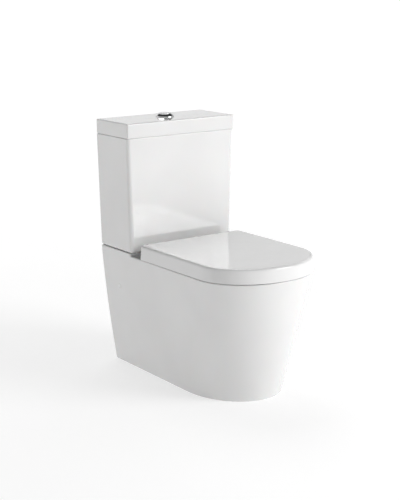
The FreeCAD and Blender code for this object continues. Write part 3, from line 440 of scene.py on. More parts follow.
@dataclass(frozen=True)
class Hoop:
    """A circle across a path in the plane x = 0."""

    radius: float
    y: float
    along: tuple[float, float] = (1.0, 0.0)

    def draw(self, height: float) -> Piece:
        """Draw the circle square to the path."""
        tilt = math.atan2(-self.along[0], self.along[1])
        bpy.ops.mesh.primitive_circle_add(vertices=PATH_STEPS, radius=self.radius,
                                          fill_type="NOTHING", location=(0.0, self.y, height),
                                          rotation=(tilt, 0.0, 0.0))
        return Bench.settle(bpy.context.object)


class Loft:
    """A form that is bridged from one outline to the next.

    Outlines that lie in one plane can't be told apart by the bridge, so all are drawn spread out
    in height, bridged, and moved back.
    """

    def __init__(self, name: str, spread: float = 0.25) -> None:
        """Start a form with no outlines.

        Args:
            name: The form's name.
            spread: Extra height from one outline to the next while they are bridged.
        """
        self.name = name
        self.spread = spread
        self.rings: list[Piece] = []

    def through(self, outline: Outline, height: float) -> "Loft":
        """Pass the form through an outline at a height."""
        Bench.clear()
        ring = outline.draw(height + self.spread * len(self.rings))
        group = ring.vertex_groups.new(name="ring_%03d" % len(self.rings))
        group.add(range(len(ring.data.vertices)), 1.0, "REPLACE")
        self.rings.append(ring)
        return self

    def build(self, looped: bool = False) -> Piece:
        """Bridge the outlines.

        Args:
            looped: Whether the last outline meets the first; if not, both ends are filled.

        Returns:
            The closed form.
        """
        names = [ring.vertex_groups[0].name for ring in self.rings]
        piece = Bench.join(self.rings)
        piece.name = piece.data.name = self.name
        pairs = list(zip(names, names[1:]))
        if looped:
            pairs.append((names[-1], names[0]))
        Bench.edit(piece)
        for pair in pairs:
            self.select(piece, pair)
            bpy.ops.mesh.bridge_edge_loops()
        if not looped:
            for end in (names[0], names[-1]):
                self.select(piece, (end,))
                bpy.ops.mesh.edge_face_add()
        for number, name in enumerate(names):
            self.select(piece, (name,))
            bpy.ops.transform.translate(value=(0.0, 0.0, -self.spread * number))
        Bench.clear()
        return Bench.outwards(piece)

    @staticmethod
    def select(piece: Piece, names: Sequence[str]) -> None:
        """Select the vertices of the named rings, in edit mode."""
        bpy.ops.mesh.select_mode(type="VERT")
        bpy.ops.mesh.select_all(action="DESELECT")
        for name in names:
            piece.vertex_groups.active_index = piece.vertex_groups[name].index
            bpy.ops.object.vertex_group_select()


@dataclass(frozen=True)
class Turning:
    """A profile turned about an axis; each corner has a radius, a height and a rounding."""

    corners: tuple[tuple[float, float, float], ...]
    centre: tuple[float, float, float]
    axis: Axis = Axis.Z
    steps: int = 64
    hollow: bool = False

    def place(self, radius: float, height: float) -> Vector:
        """Give the place of a profile corner."""
        side = {Axis.X: (height, 0.0, radius), Axis.Y: (radius, height, 0.0),
                Axis.Z: (radius, 0.0, height)}[self.axis]
        return Vector(self.centre) + Vector(side)

    def build(self, name: str) -> Piece:
        """Draw the profile, round its corners and spin it."""
        Bench.clear()
        bpy.ops.mesh.primitive_plane_add(size=1.0 * MM)
        piece = bpy.context.object
        piece.name = piece.data.name = name
        Bench.edit(piece)
        bpy.ops.mesh.select_all(action="SELECT")
        bpy.ops.mesh.merge(type="CENTER")
        places = [self.place(radius, height) for radius, height, _ in self.corners]
        bpy.ops.transform.translate(value=places[0])
        for before, after in zip(places, places[1:]):
            bpy.ops.mesh.extrude_vertices_move(TRANSFORM_OT_translate={"value": after - before})
        if self.hollow:
            Bench.pick(lambda co: min((co - end).length for end in (places[0], places[-1]))
                       < SAME_PLACE)
            bpy.ops.mesh.edge_face_add()
        for place, (_, _, rounding) in zip(places, self.corners):
            if rounding:
                Bench.pick(lambda co: (co - place).length < SAME_PLACE)
                bpy.ops.mesh.bevel(offset=rounding, segments=4, affect="VERTICES")
        bpy.ops.mesh.select_all(action="SELECT")
        bpy.ops.mesh.spin(steps=self.steps, angle=math.tau, center=self.centre,
                          axis=self.axis.value)
        return Bench.outwards(piece)


def rod(axis: Axis, radius: float, start: Sequence[float], length: float,
        rounding: float = 0.0, steps: int = 48) -> Piece:
    """Turn a plain round bar.

    Args:
        axis: The direction that it runs in.
        radius: Its radius.
        start: The middle of its first end.
        length: Its length.
        rounding: Rounding of both ends' edges.
        steps: Number of facets round it.

    Returns:
        The bar.
    """
    corners = ((0.0, 0.0, 0.0), (radius, 0.0, rounding), (radius, length, rounding),
               (0.0, length, 0.0))
    return Turning(corners, tuple(start), axis, steps).build("rod")


def bar(low: Sequence[float], high: Sequence[float], rounding: float = 0.0) -> Piece:
    """Make a box between two corners, with its edges rounded if asked.

    Args:
        low: Lowest corner.
        high: Highest corner.
        rounding: Rounding of every edge.

    Returns:
        The box.
    """
    Bench.clear()
    middle = [(a + b) / 2 for a, b in zip(low, high)]
    bpy.ops.mesh.primitive_cube_add(size=1.0, location=middle,
                                    scale=[b - a for a, b in zip(low, high)])
    piece = Bench.settle(bpy.context.object)
    if rounding:
        Bench.edit(piece)
        bpy.ops.mesh.select_all(action="SELECT")
        bpy.ops.mesh.bevel(offset=rounding, segments=3, affect="EDGES")
        Bench.clear()
    return piece


def grey(level: float, warmth: float = 0.0) -> Colour:
    """Give a near-neutral colour.

    Args:
        level: Brightness from 0 to 1.
        warmth: How much redder than blue it is.

    Returns:
        The colour with full opacity.
    """
    return (level + warmth / 2, level, level - warmth / 2, 1.0)


# ------------------------------------------------------------------ finishes


class Recipe:
    """A node tree under construction for one material."""

    def __init__(self, name: str) -> None:
        """Start a material with an empty principled surface.

        Args:
            name: The material's name.
        """
        self.material = bpy.data.materials.new(name)
        self.material.use_nodes = True
        self.tree = self.material.node_tree
        self.shader = self.tree.nodes["Principled BSDF"]
        self.place = self.tree.nodes.new("ShaderNodeTexCoord").outputs["Object"]

    def add(self, kind: str, **settings: object) -> Node:
        """Add a node and set its own properties.

        Args:
            kind: The node's type, without the ShaderNode prefix.
            **settings: Properties of the node.

        Returns:
            The new node.
        """
        node = self.tree.nodes.new("ShaderNode" + kind)
        for name, setting in settings.items():
            setattr(node, name, setting)
        return node

    def link(self, source: Socket, target: Socket) -> None:
        """Join two sockets."""
        self.tree.links.new(source, target)

    def noise(self, scale: float, detail: float = 3.0, roughness: float = 0.5) -> Socket:
        """Add a noise texture in object coordinates.

        Args:
            scale: Features per metre.
            detail: Octaves of detail.
            roughness: Strength of the finer octaves.

        Returns:
            The texture's value.
        """
        node = self.add("TexNoise")
        node.inputs["Scale"].default_value = scale
        node.inputs["Detail"].default_value = detail
        node.inputs["Roughness"].default_value = roughness
        self.link(self.place, node.inputs["Vector"])
        return node.outputs["Fac"]

    def brushed(self, scale: float, stretch: Sequence[float]) -> Socket:
        """Add a noise drawn out along one direction, as brushing leaves it.

        Args:
            scale: Features per metre.
            stretch: Scale along X, Y and Z.

        Returns:
            The texture's value.
        """
        mapping = self.add("Mapping")
        mapping.inputs["Scale"].default_value = stretch
        self.link(self.place, mapping.inputs["Vector"])
        node = self.add("TexNoise")
        node.inputs["Scale"].default_value = scale
        node.inputs["Detail"].default_value = 2.0
        self.link(mapping.outputs["Vector"], node.inputs["Vector"])
        return node.outputs["Fac"]

    def ramp(self, value: Socket, low: Colour, high: Colour,
             start: float = 0.35, end: float = 0.65) -> Socket:
        """Turn a value into a colour between two others.

        Args:
            value: The driving value.
            low: Colour at and below start.
            high: Colour at and above end.
            start: Value where the change begins.
            end: Value where it ends.

        Returns:
            The colour.
        """
        node = self.add("ValToRGB")
        first, last = node.color_ramp.elements
        first.position, first.color = start, low
        last.position, last.color = end, high
        self.link(value, node.inputs["Fac"])
        return node.outputs["Color"]

    def spread(self, value: Socket, low: float, high: float,
               start: float = 0.3, end: float = 0.7) -> Socket:
        """Map a value to a range, as for roughness.

        Args:
            value: The driving value.
            low: Result at start.
            high: Result at end.
            start: Value where the change begins.
            end: Value where it ends.

        Returns:
            The mapped value.
        """
        node = self.add("MapRange")
        node.inputs["From Min"].default_value = start
        node.inputs["From Max"].default_value = end
        node.inputs["To Min"].default_value = low
        node.inputs["To Max"].default_value = high
        self.link(value, node.inputs["Value"])
        return node.outputs["Result"]

    def bump(self, heights: Sequence[tuple[Socket, float, float]]) -> None:
        """Stack bumps on the surface.

        Args:
            heights: Triples of a height value, a strength and a distance in metres.
        """
        below = None
        for value, strength, distance in heights:
            node = self.add("Bump")
            node.inputs["Strength"].default_value = strength
            node.inputs["Distance"].default_value = distance
            self.link(value, node.inputs["Height"])
            if below is not None:
                self.link(below.outputs["Normal"], node.inputs["Normal"])
            below = node
        self.link(below.outputs["Normal"], self.shader.inputs["Normal"])

    def tint(self, value: Socket, low: Colour, high: Colour,
             start: float = 0.35, end: float = 0.65) -> None:
        """Colour the surface by a value, between two colours, as ramp does."""
        self.link(self.ramp(value, low, high, start, end), self.shader.inputs["Base Color"])

    def roughen(self, value: Socket, low: float, high: float) -> None:
        """Vary the surface's roughness with a value."""
        self.link(self.spread(value, low, high), self.shader.inputs["Roughness"])

    def set(self, **values: object) -> None:
        """Set the shader's own sockets; an underscore stands for a space."""
        for name, value in values.items():
            self.shader.inputs[name.replace("_", " ")].default_value = value


@dataclass(frozen=True)
class Glaze:
    """Vitreous china under a clear fired glaze."""

    name: str = "vitreous_china_glaze"
    colour: Colour = grey(0.75, 0.004)
    shade: Colour = grey(0.72, 0.006)

    def make(self) -> bpy.types.Material:
        """Build the material: fired body, soft pooling of the glaze and a faint orange peel."""
        recipe = Recipe(self.name)
        recipe.tint(recipe.noise(5.0, 2.0), self.shade, self.colour)
        recipe.roughen(recipe.noise(38.0, 2.0), 0.10, 0.16)
        recipe.set(Coat_Weight=1.0, Coat_Roughness=0.035, Coat_IOR=1.52, IOR=1.5,
                   Subsurface_Weight=0.06, Subsurface_Scale=0.004)
        recipe.bump([(recipe.noise(16.0, 1.0), 0.12, 0.0012),
                     (recipe.noise(420.0, 2.0), 0.04, 0.0001)])
        return recipe.material


@dataclass(frozen=True)
class MouldedPlastic:
    """Moulded plastic, from gloss seat material to plain cistern fittings."""

    name: str
    colour: Colour
    shade: Colour
    gloss: float
    grain: float = 900.0
    grain_strength: float = 0.05
    coat: float = 0.0

    def make(self) -> bpy.types.Material:
        """Build the material: flow clouds in the colour and a fine mould grain."""
        recipe = Recipe(self.name)
        recipe.tint(recipe.noise(9.0, 3.0), self.shade, self.colour)
        recipe.roughen(recipe.noise(60.0, 3.0), self.gloss * 0.8, self.gloss * 1.25)
        recipe.set(Coat_Weight=self.coat, Coat_Roughness=0.06, IOR=1.49)
        recipe.bump([(recipe.noise(14.0, 1.0), 0.08, 0.001),
                     (recipe.noise(self.grain, 2.0), self.grain_strength, 0.00015)])
        return recipe.material


@dataclass(frozen=True)
class Plating:
    """Plated or bare metal, polished or brushed."""

    name: str
    colour: Colour
    shade: Colour
    gloss: float
    stretch: tuple[float, float, float] = (1.0, 1.0, 1.0)
    scale: float = 120.0
    strength: float = 0.03

    def make(self) -> bpy.types.Material:
        """Build the material: a metal with fine scratches and slight tarnish."""
        recipe = Recipe(self.name)
        recipe.tint(recipe.noise(26.0, 4.0, 0.6), self.shade, self.colour)
        scratches = recipe.brushed(self.scale, self.stretch)
        recipe.roughen(scratches, self.gloss * 0.7, self.gloss * 1.4)
        recipe.set(Metallic=1.0)
        recipe.bump([(scratches, self.strength, 0.0002)])
        return recipe.material


@dataclass(frozen=True)
class Spangle:
    """Hot-dip galvanised steel with its crystal spangle."""

    name: str = "galvanised_steel"
    cells_per_metre: float = 130.0

    def make(self) -> bpy.types.Material:
        """Build the material: cells of slightly different grey, each its own roughness."""
        recipe = Recipe(self.name)
        cells = recipe.add("TexVoronoi")
        cells.inputs["Scale"].default_value = self.cells_per_metre
        recipe.link(recipe.place, cells.inputs["Vector"])
        tone = recipe.add("SeparateColor")
        recipe.link(cells.outputs["Color"], tone.inputs["Color"])
        recipe.tint(tone.outputs["Red"], grey(0.50, -0.02), grey(0.68, -0.02), 0.0, 1.0)
        recipe.roughen(tone.outputs["Green"], 0.30, 0.50)
        recipe.set(Metallic=0.9)
        recipe.bump([(cells.outputs["Distance"], 0.10, 0.0003)])
        return recipe.material


@dataclass(frozen=True)
class Rubber:
    """Moulded rubber with a dusty bloom."""

    name: str
    colour: Colour
    bloom: Colour

    def make(self) -> bpy.types.Material:
        """Build the material: a matt body with bloom in patches and a fine texture."""
        recipe = Recipe(self.name)
        patches = recipe.noise(45.0, 5.0, 0.65)
        recipe.tint(patches, self.colour, self.bloom)
        recipe.roughen(patches, 0.55, 0.78)
        recipe.set(IOR=1.45)
        recipe.bump([(recipe.noise(700.0, 3.0), 0.15, 0.0002)])
        return recipe.material


FINISHES = {
    "china": Glaze(),
    "seat_plastic": MouldedPlastic("seat_thermoset", grey(0.80, 0.003), grey(0.78, 0.004),
                                   gloss=0.14, grain_strength=0.02, coat=0.6),
    "chrome": Plating("polished_chrome", grey(0.80, -0.012), grey(0.72, -0.012), gloss=0.07,
                      scale=300.0, strength=0.015),
    "white_trim": MouldedPlastic("trim_plastic", grey(0.82, 0.004), grey(0.79, 0.008), gloss=0.22,
                                 coat=0.3),
    "plated_steel": Plating("zinc_plate", grey(0.62, 0.01), grey(0.50, 0.03), gloss=0.28,
                            stretch=(1.0, 1.0, 14.0), scale=160.0, strength=0.10),
    "zinc_bracket": Spangle(),
    "brass": Plating("cast_brass", (0.71, 0.52, 0.24, 1.0), (0.52, 0.36, 0.16, 1.0), gloss=0.32,
                     scale=240.0, strength=0.12),
    "rubber": Rubber("black_rubber", grey(0.025), grey(0.055, 0.004)),
    "buffer_rubber": Rubber("white_buffer_rubber", grey(0.66, 0.01), grey(0.72, 0.01)),
    "valve_plastic": MouldedPlastic("valve_moulding", grey(0.74, 0.0), grey(0.68, 0.01), gloss=0.36,
                                    grain=1400.0, grain_strength=0.12),
    "rod_plastic": MouldedPlastic("blue_valve_moulding", (0.05, 0.17, 0.42, 1.0),
                                  (0.04, 0.13, 0.34, 1.0), gloss=0.38, grain_strength=0.12),
}


class Wardrobe:
    """Makes each finish once and puts it on pieces."""

    def __init__(self) -> None:
        """Start with nothing made."""
        self.made: dict[str, bpy.types.Material] = {}

    def dress(self, piece: Piece, slot: str) -> None:
        """Put a finish on a piece.

        Args:
            piece: The object to dress.
            slot: The finish's name, which is also the record's material slot.
        """
        if slot not in self.made:
            self.made[slot] = FINISHES[slot].make()
        if piece.data.materials:
            piece.material_slots[0].material = self.made[slot]
        else:
            piece.data.materials.append(self.made[slot])


# ------------------------------------------------------------------ studio


@dataclass(frozen=True)
class SoftBox:
    """A soft light: where it hangs, its size and strength, and whether gloss mirrors it."""

    name: str
    place: tuple[float, float, float]
    size: tuple[float, float]
    watts: float
    mirrored: bool = True


@dataclass
class Studio:
    """Plain pale floor, soft light and the camera."""

    look_from: tuple[float, float, float] = (-2.1276, -2.9085, 1.2279)
    azimuth: float = -35.484
    elevation: float = 12.992
    roll: float = -0.393
    focal_length: float = 89.62
    sensor: float = 36.0
    middle: tuple[float, float, float] = (0.0, -0.05, 0.4)
    sky: float = 0.05
    near_glow: float = 0.62
    far_glow: float = 0.93
    glow_reach: float = 4.0
    floor_size: float = 120.0
    screen_radius: float = 58.0
    screen_height: float = 38.0
    screen_front: float = 0.15
    screen_rear: float = 0.50
    screen_fade: float = 0.8
    boxes: tuple[SoftBox, ...] = (
        SoftBox("front_right_box", (1.73, -2.66, 1.88), (1.8, 1.8), 50.0),
        SoftBox("front_right_fill", (1.73, -2.66, 1.88), (1.6, 1.6), 38.0, mirrored=False),
        SoftBox("top_box", (0.3, 1.2, 2.8), (1.6, 1.6), 24.0),
    )

    def camera(self) -> None:
        """Set the camera where it sees the suite from its front left."""
        data = bpy.data.cameras.new("camera")
        data.lens = self.focal_length
        data.sensor_width = self.sensor
        item = bpy.data.objects.new("camera", data)
        item.location = self.look_from
        turn = Euler((math.radians(90 - self.elevation), 0.0, math.radians(self.azimuth)))
        spin = Euler((0.0, 0.0, math.radians(self.roll)))
        item.rotation_euler = (turn.to_matrix() @ spin.to_matrix()).to_euler()
        bpy.context.scene.collection.objects.link(item)
        bpy.context.scene.camera = item

    def floor(self) -> None:
        """Lay a large pale floor that glows a little, more so away from the suite."""
        Bench.clear()
        bpy.ops.mesh.primitive_plane_add(size=self.floor_size, location=(0.0, 0.0, 0.0))
        plane = bpy.context.object
        plane.name = "studio_floor"
        recipe = Recipe("studio_floor")
        recipe.tint(recipe.noise(1.5, 2.0), grey(0.42), grey(0.44))
        reach = recipe.add("VectorMath", operation="LENGTH")
        recipe.link(recipe.place, reach.inputs[0])
        glow = recipe.spread(reach.outputs["Value"], self.near_glow, self.far_glow,
                             0.0, self.glow_reach)
        recipe.link(glow, recipe.shader.inputs["Emission Strength"])
        recipe.set(Roughness=0.9, Specular_IOR_Level=0.1, Emission_Color=grey(1.0))
        plane.data.materials.append(recipe.material)

    def screen(self) -> None:
        """Stand a round white screen far outside, brightest behind the suite."""
        Bench.clear()
        bpy.ops.mesh.primitive_cylinder_add(
            vertices=CIRCLE_STEPS, radius=self.screen_radius, depth=self.screen_height,
            end_fill_type="NOTHING", location=(0.0, 0.0, self.screen_height / 2))
        ring = bpy.context.object
        ring.name = "studio_screen"
        Bench.settle(ring)
        recipe = Recipe("studio_screen")
        spot = recipe.add("SeparateXYZ")
        recipe.link(recipe.place, spot.inputs[0])
        glow = recipe.spread(spot.outputs["Y"], self.screen_front, self.screen_rear,
                             0.0, self.screen_fade * self.screen_radius)
        recipe.link(glow, recipe.shader.inputs["Emission Strength"])
        recipe.set(Base_Color=grey(0.5), Roughness=0.9, Emission_Color=grey(1.0))
        ring.data.materials.append(recipe.material)

    def world(self) -> None:
        """Fill the surroundings with even white light."""
        world = bpy.data.worlds.new("studio_world")
        world.use_nodes = True
        background = world.node_tree.nodes["Background"]
        background.inputs["Color"].default_value = grey(1.0)
        background.inputs["Strength"].default_value = self.sky
        bpy.context.scene.world = world

    def lamp(self, box: SoftBox) -> None:
        """Hang a soft box facing the suite."""
        data = bpy.data.lights.new(box.name, "AREA")
        data.shape = "RECTANGLE"
        data.size, data.size_y = box.size
        data.energy = box.watts
        item = bpy.data.objects.new(box.name, data)
        item.location = box.place
        aim = Vector(self.middle) - Vector(box.place)
        item.rotation_euler = aim.to_track_quat("-Z", "Y").to_euler()
        item.visible_glossy = box.mirrored
        bpy.context.scene.collection.objects.link(item)

    def build(self) -> None:
        """Set up the camera, the floor and the light."""
        bpy.context.scene.view_settings.view_transform = "Standard"
        self.camera()
        self.floor()
        self.screen()
        self.world()
        for box in self.boxes:
            self.lamp(box)


# ------------------------------------------------------------------ pan


@dataclass(frozen=True)
class Level:
    """One level of the skirt: its height, half widths, front and rounded length."""

    height: float
    rear_half: float
    half: float
    front: float
    bulge: float


@dataclass
class Pan:
    """The china pan: skirt, rim, platform, bowl, trapway and outlet in one casting."""

    foot: Level = Level(0.0, 0.1385, 0.145, 0.589, 0.182)
    waist: Level = Level(0.190, 0.1665, 0.170, 0.638, 0.172)
    brim: Level = Level(0.377, 0.1855, 0.1885, 0.684, 0.158)
    wall: float = 0.012
    rim_top: float = 0.3695
    rim_round: float = 0.004
    ceiling: float = 0.355
    ceiling_round: float = 0.012
    foot_round: float = 0.002
    past_wall: float = 0.030
    levels: int = 14
    platform_low: float = 0.342
    platform_depth: float = 0.165
    platform_top: float = 0.377
    platform_round: float = 0.003
    platform_corner: float = 0.004
    mouth_half: float = 0.134
    mouth_reach: float = 0.172
    mouth_middle: float = 0.470
    lip: float = 0.006
    bowl_wall: float = 0.011
    bowl_soft: float = 0.012
    shell_soft: float = 0.016
    into_ceiling: float = 0.004
    sump_radius: float = 0.040
    sump_middle: float = 0.400
    sump_floor: float = 0.045
    trap_bore: float = 0.037
    trap_wall: float = 0.010
    trap_bend: float = 0.055
    trap_bend_steps: int = 8
    trap_path: tuple[tuple[float, float], ...] = (
        (0.400, 0.084), (0.305, 0.084), (0.222, 0.202), (0.060, 0.185))
    spigot_radius: float = 0.051
    spigot_bore: float = 0.043
    spigot_length: float = 0.064
    spigot_round: float = 0.0015
    chamber_radius: float = 0.064
    chamber_floor: float = 0.300
    chamber_height: float = 0.057
    chamber_round: float = 0.004
    inlet_radius: float = 0.036
    inlet_floor: float = 0.312
    recess_radius: float = 0.055
    recess_floor: float = 0.352
    recess_round: float = 0.002
    channel_radius: float = 0.029
    channel_round: float = 0.001
    channel_bore: float = 0.018
    channel_height: float = 0.332
    channel_start: float = 0.320
    channel_length: float = 0.235
    channel_end: float = 0.018
    fill_hole: float = 0.0224
    hinge_hole: float = 0.0055
    screw_hole: float = 0.0036
    cap_hole: float = 0.0062
    cap_depth: float = 0.0052
    hole_start: float = 0.350
    bowl_curve: tuple[tuple[float, float], ...] = (
        (0.0, 0.0), (0.22, 0.20), (0.5, 0.58), (0.78, 0.90), (1.0, 1.0))

    def section(self, height: float, inset: float = 0.0, rear: float = 0.0) -> Bow:
        """Give the skirt's outline at a height.

        Args:
            height: Where the skirt is cut.
            inset: How far inside the outer face.
            rear: How far behind the wall plane the outline ends.

        Returns:
            The outline.
        """
        levels = (self.foot, self.waist, self.brim)

        def read(name: str) -> float:
            """Read one of the levels' sizes at the height."""
            return through([(level.height, getattr(level, name)) for level in levels], height)

        return Bow(read("rear_half") - inset, read("half") - inset, WALL + rear,
                   from_wall(read("front")) + inset, read("bulge") - inset)

    def skirt(self) -> Piece:
        """Make the outer form from the floor to the rounded rim."""
        form = Loft("pan_china")
        stations = sole(0.0, self.foot_round, 3)
        stations += [((self.rim_top - self.rim_round) * step / self.levels, 0.0)
                     for step in range(1, self.levels + 1)]
        stations += crown(self.rim_top, self.rim_round)[1:]
        for height, inset in stations:
            form.through(self.section(height, inset), height)
        return form.build()

    def hollow(self) -> Piece:
        """Make the space inside the skirt, open to the floor and the wall."""
        form = Loft("pan_hollow")
        flare, steps = self.wall - self.foot_round, 8
        top = self.ceiling - self.ceiling_round
        stations = [(-0.01, flare), (0.0, flare)]
        stations += [(rise, flare + inset) for inset, rise in arc(self.foot_round, 3)[1:]]
        stations += [(top * step / steps, self.wall) for step in range(1, steps + 1)]
        stations += [(height, self.wall + inset)
                     for height, inset in crown(self.ceiling, self.ceiling_round)[1:]]
        for height, inset in stations:
            form.through(self.section(height, inset, self.past_wall), height)
        return form.build()

    def platform(self) -> Piece:
        """Make the raised platform that the cistern stands on."""
        form = Loft("pan_platform")
        stations = [(self.platform_low, 0.0), (self.rim_top, 0.0)]
        stations += crown(self.platform_top, self.platform_round, 4)
        for height, inset in stations:
            side = self.section(height)
            share = self.platform_depth / (side.rear - side.front - side.bulge)
            half = side.rear_half + (side.half - side.rear_half) * share
            slack = 0.15 * MM
            slab = Slab(side.rear_half - slack, half - slack, WALL, from_wall(self.platform_depth),
                        self.platform_corner, 1.0 * MM)
            form.through(slab.inside(inset, 0.0), height)
        return form.build()

    def bowl(self, wall: float) -> Piece:
        """Make the bowl's inside, or with a wall its outside.

        Args:
            wall: How far outside the bowl's surface.

        Returns:
            The form.
        """
        form = Loft("pan_bowl_form")
        soft = self.shell_soft if wall else self.bowl_soft
        low = self.sump_floor - wall + soft
        high = self.ceiling + self.into_ceiling if wall else self.rim_top - self.lip
        for height, inset in sole(self.sump_floor - wall, soft):
            form.through(self.oval(max(height, self.sump_floor), wall).inside(inset), height)
        for step in range(1, self.levels + 1):
            height = low + (high - low) * step / self.levels
            form.through(self.oval(height, wall), height)
        if not wall:
            for height, inset in sole(high, self.lip)[1:]:
                form.through(self.oval(high, 0.0).inside(inset - self.lip), height)
            form.through(self.oval(high, 0.0).inside(-self.lip), self.rim_top + self.lip)
        return form.build()

    def oval(self, height: float, wall: float) -> Oval:
        """Give the bowl's outline at a height.

        Args:
            height: Where the bowl is cut.
            wall: How far outside the bowl's surface.

        Returns:
            The outline.
        """
        depth = self.rim_top - self.sump_floor
        share = through(self.bowl_curve, (height - self.sump_floor) / depth)
        middle = self.sump_middle + share * (self.mouth_middle - self.sump_middle)
        return Oval(self.sump_radius + share * (self.mouth_half - self.sump_radius) + wall,
                    self.sump_radius + share * (self.mouth_reach - self.sump_radius) + wall,
                    from_wall(middle))

    def trap(self, radius: float) -> Piece:
        """Make the trapway as a bent tube of a radius."""
        form = Loft("pan_trap_form", spread=0.0)
        spots = [Vector((0.0, from_wall(distance), height)) for distance, height in self.trap_path]
        stations = [(spots[0], spots[1] - spots[0])]
        for before, bend, after in zip(spots, spots[1:], spots[2:]):
            towards, away = (bend - before).normalized(), (after - bend).normalized()
            turn = towards.angle(away)
            reach = self.trap_bend * math.tan(turn / 2)
            inwards = (away - towards).normalized()
            centre = bend + inwards * (self.trap_bend / math.cos(turn / 2))
            first = bend - towards * reach - centre
            for step in range(self.trap_bend_steps + 1):
                angle = turn * step / self.trap_bend_steps
                spoke = first * math.cos(angle) + towards * self.trap_bend * math.sin(angle)
                along = towards * math.cos(angle) - first.normalized() * math.sin(angle)
                stations.append((centre + spoke, along))
        stations.append((spots[-1], spots[-1] - spots[-2]))
        for spot, along in stations:
            along = along.normalized()
            form.through(Hoop(radius, spot.y, (along.y, along.z)), spot.z)
        return form.build()

    def bores(self) -> list[Piece]:
        """Make everything that is bored or recessed after casting."""
        spot, floor, through_rim, past_side = PLACES, self.hole_start, 0.030, 0.2
        screw = (-past_side, spot.side_screw, spot.side_screw_height)
        tools = [
            rod(Axis.Y, self.spigot_bore, (0, from_wall(self.spigot_length), spot.outlet_height),
                self.spigot_length + 6.0 * MM),
            rod(Axis.Z, self.recess_radius, (0, spot.valve, self.recess_floor), through_rim,
                self.recess_round, CIRCLE_STEPS),
            rod(Axis.Z, self.inlet_radius, (0, spot.valve, self.inlet_floor), 0.070,
                self.chamber_round, 72),
            rod(Axis.Y, self.channel_bore, (0, from_wall(self.channel_start), self.channel_height),
                self.channel_length),
            rod(Axis.Z, self.fill_hole, (spot.fill_valve_x, spot.valve, floor), through_rim),
            rod(Axis.X, self.screw_hole, screw, 2 * past_side, steps=24),
        ]
        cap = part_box("fixing_cover_caps")[1].x - self.cap_depth
        for side in (1, -1):
            hinge = (side * spot.hinge_half, spot.hinge, floor)
            bolt = (side * spot.bolt_half, spot.valve, floor)
            start = cap - 0.003 if side > 0 else -cap - 0.037
            tools += [
                rod(Axis.Z, self.hinge_hole, hinge, through_rim, steps=32),
                rod(Axis.Z, spot.bolt_hole, bolt, through_rim, steps=32),
                rod(Axis.X, self.cap_hole, (start, *screw[1:]), 0.040, steps=40),
            ]
        return tools

    def build(self) -> Piece:
        """Cast the pan and bore it."""
        pan = self.skirt()
        Bench.combine(pan, self.platform(), Join.ADD)
        Bench.combine(pan, self.hollow(), Join.CARVE)
        spigot = rod(Axis.Y, self.spigot_radius,
                     (0, from_wall(self.spigot_length), PLACES.outlet_height),
                     self.spigot_length, self.spigot_round, CIRCLE_STEPS)
        chamber = rod(Axis.Z, self.chamber_radius, (0, PLACES.valve, self.chamber_floor),
                      self.chamber_height, self.chamber_round, CIRCLE_STEPS)
        channel = rod(Axis.Y, self.channel_radius,
                      (0, from_wall(self.channel_start - self.channel_end), self.channel_height),
                      self.channel_length - self.channel_end, self.channel_round)
        for cast in (self.bowl(self.bowl_wall), self.trap(self.trap_bore + self.trap_wall),
                     spigot, chamber, channel):
            Bench.combine(pan, cast, Join.ADD)
        for tool in (self.bowl(0.0), self.trap(self.trap_bore), *self.bores()):
            Bench.combine(pan, tool, Join.CARVE)
        return Bench.finish(pan)


# ------------------------------------------------------------------ cistern


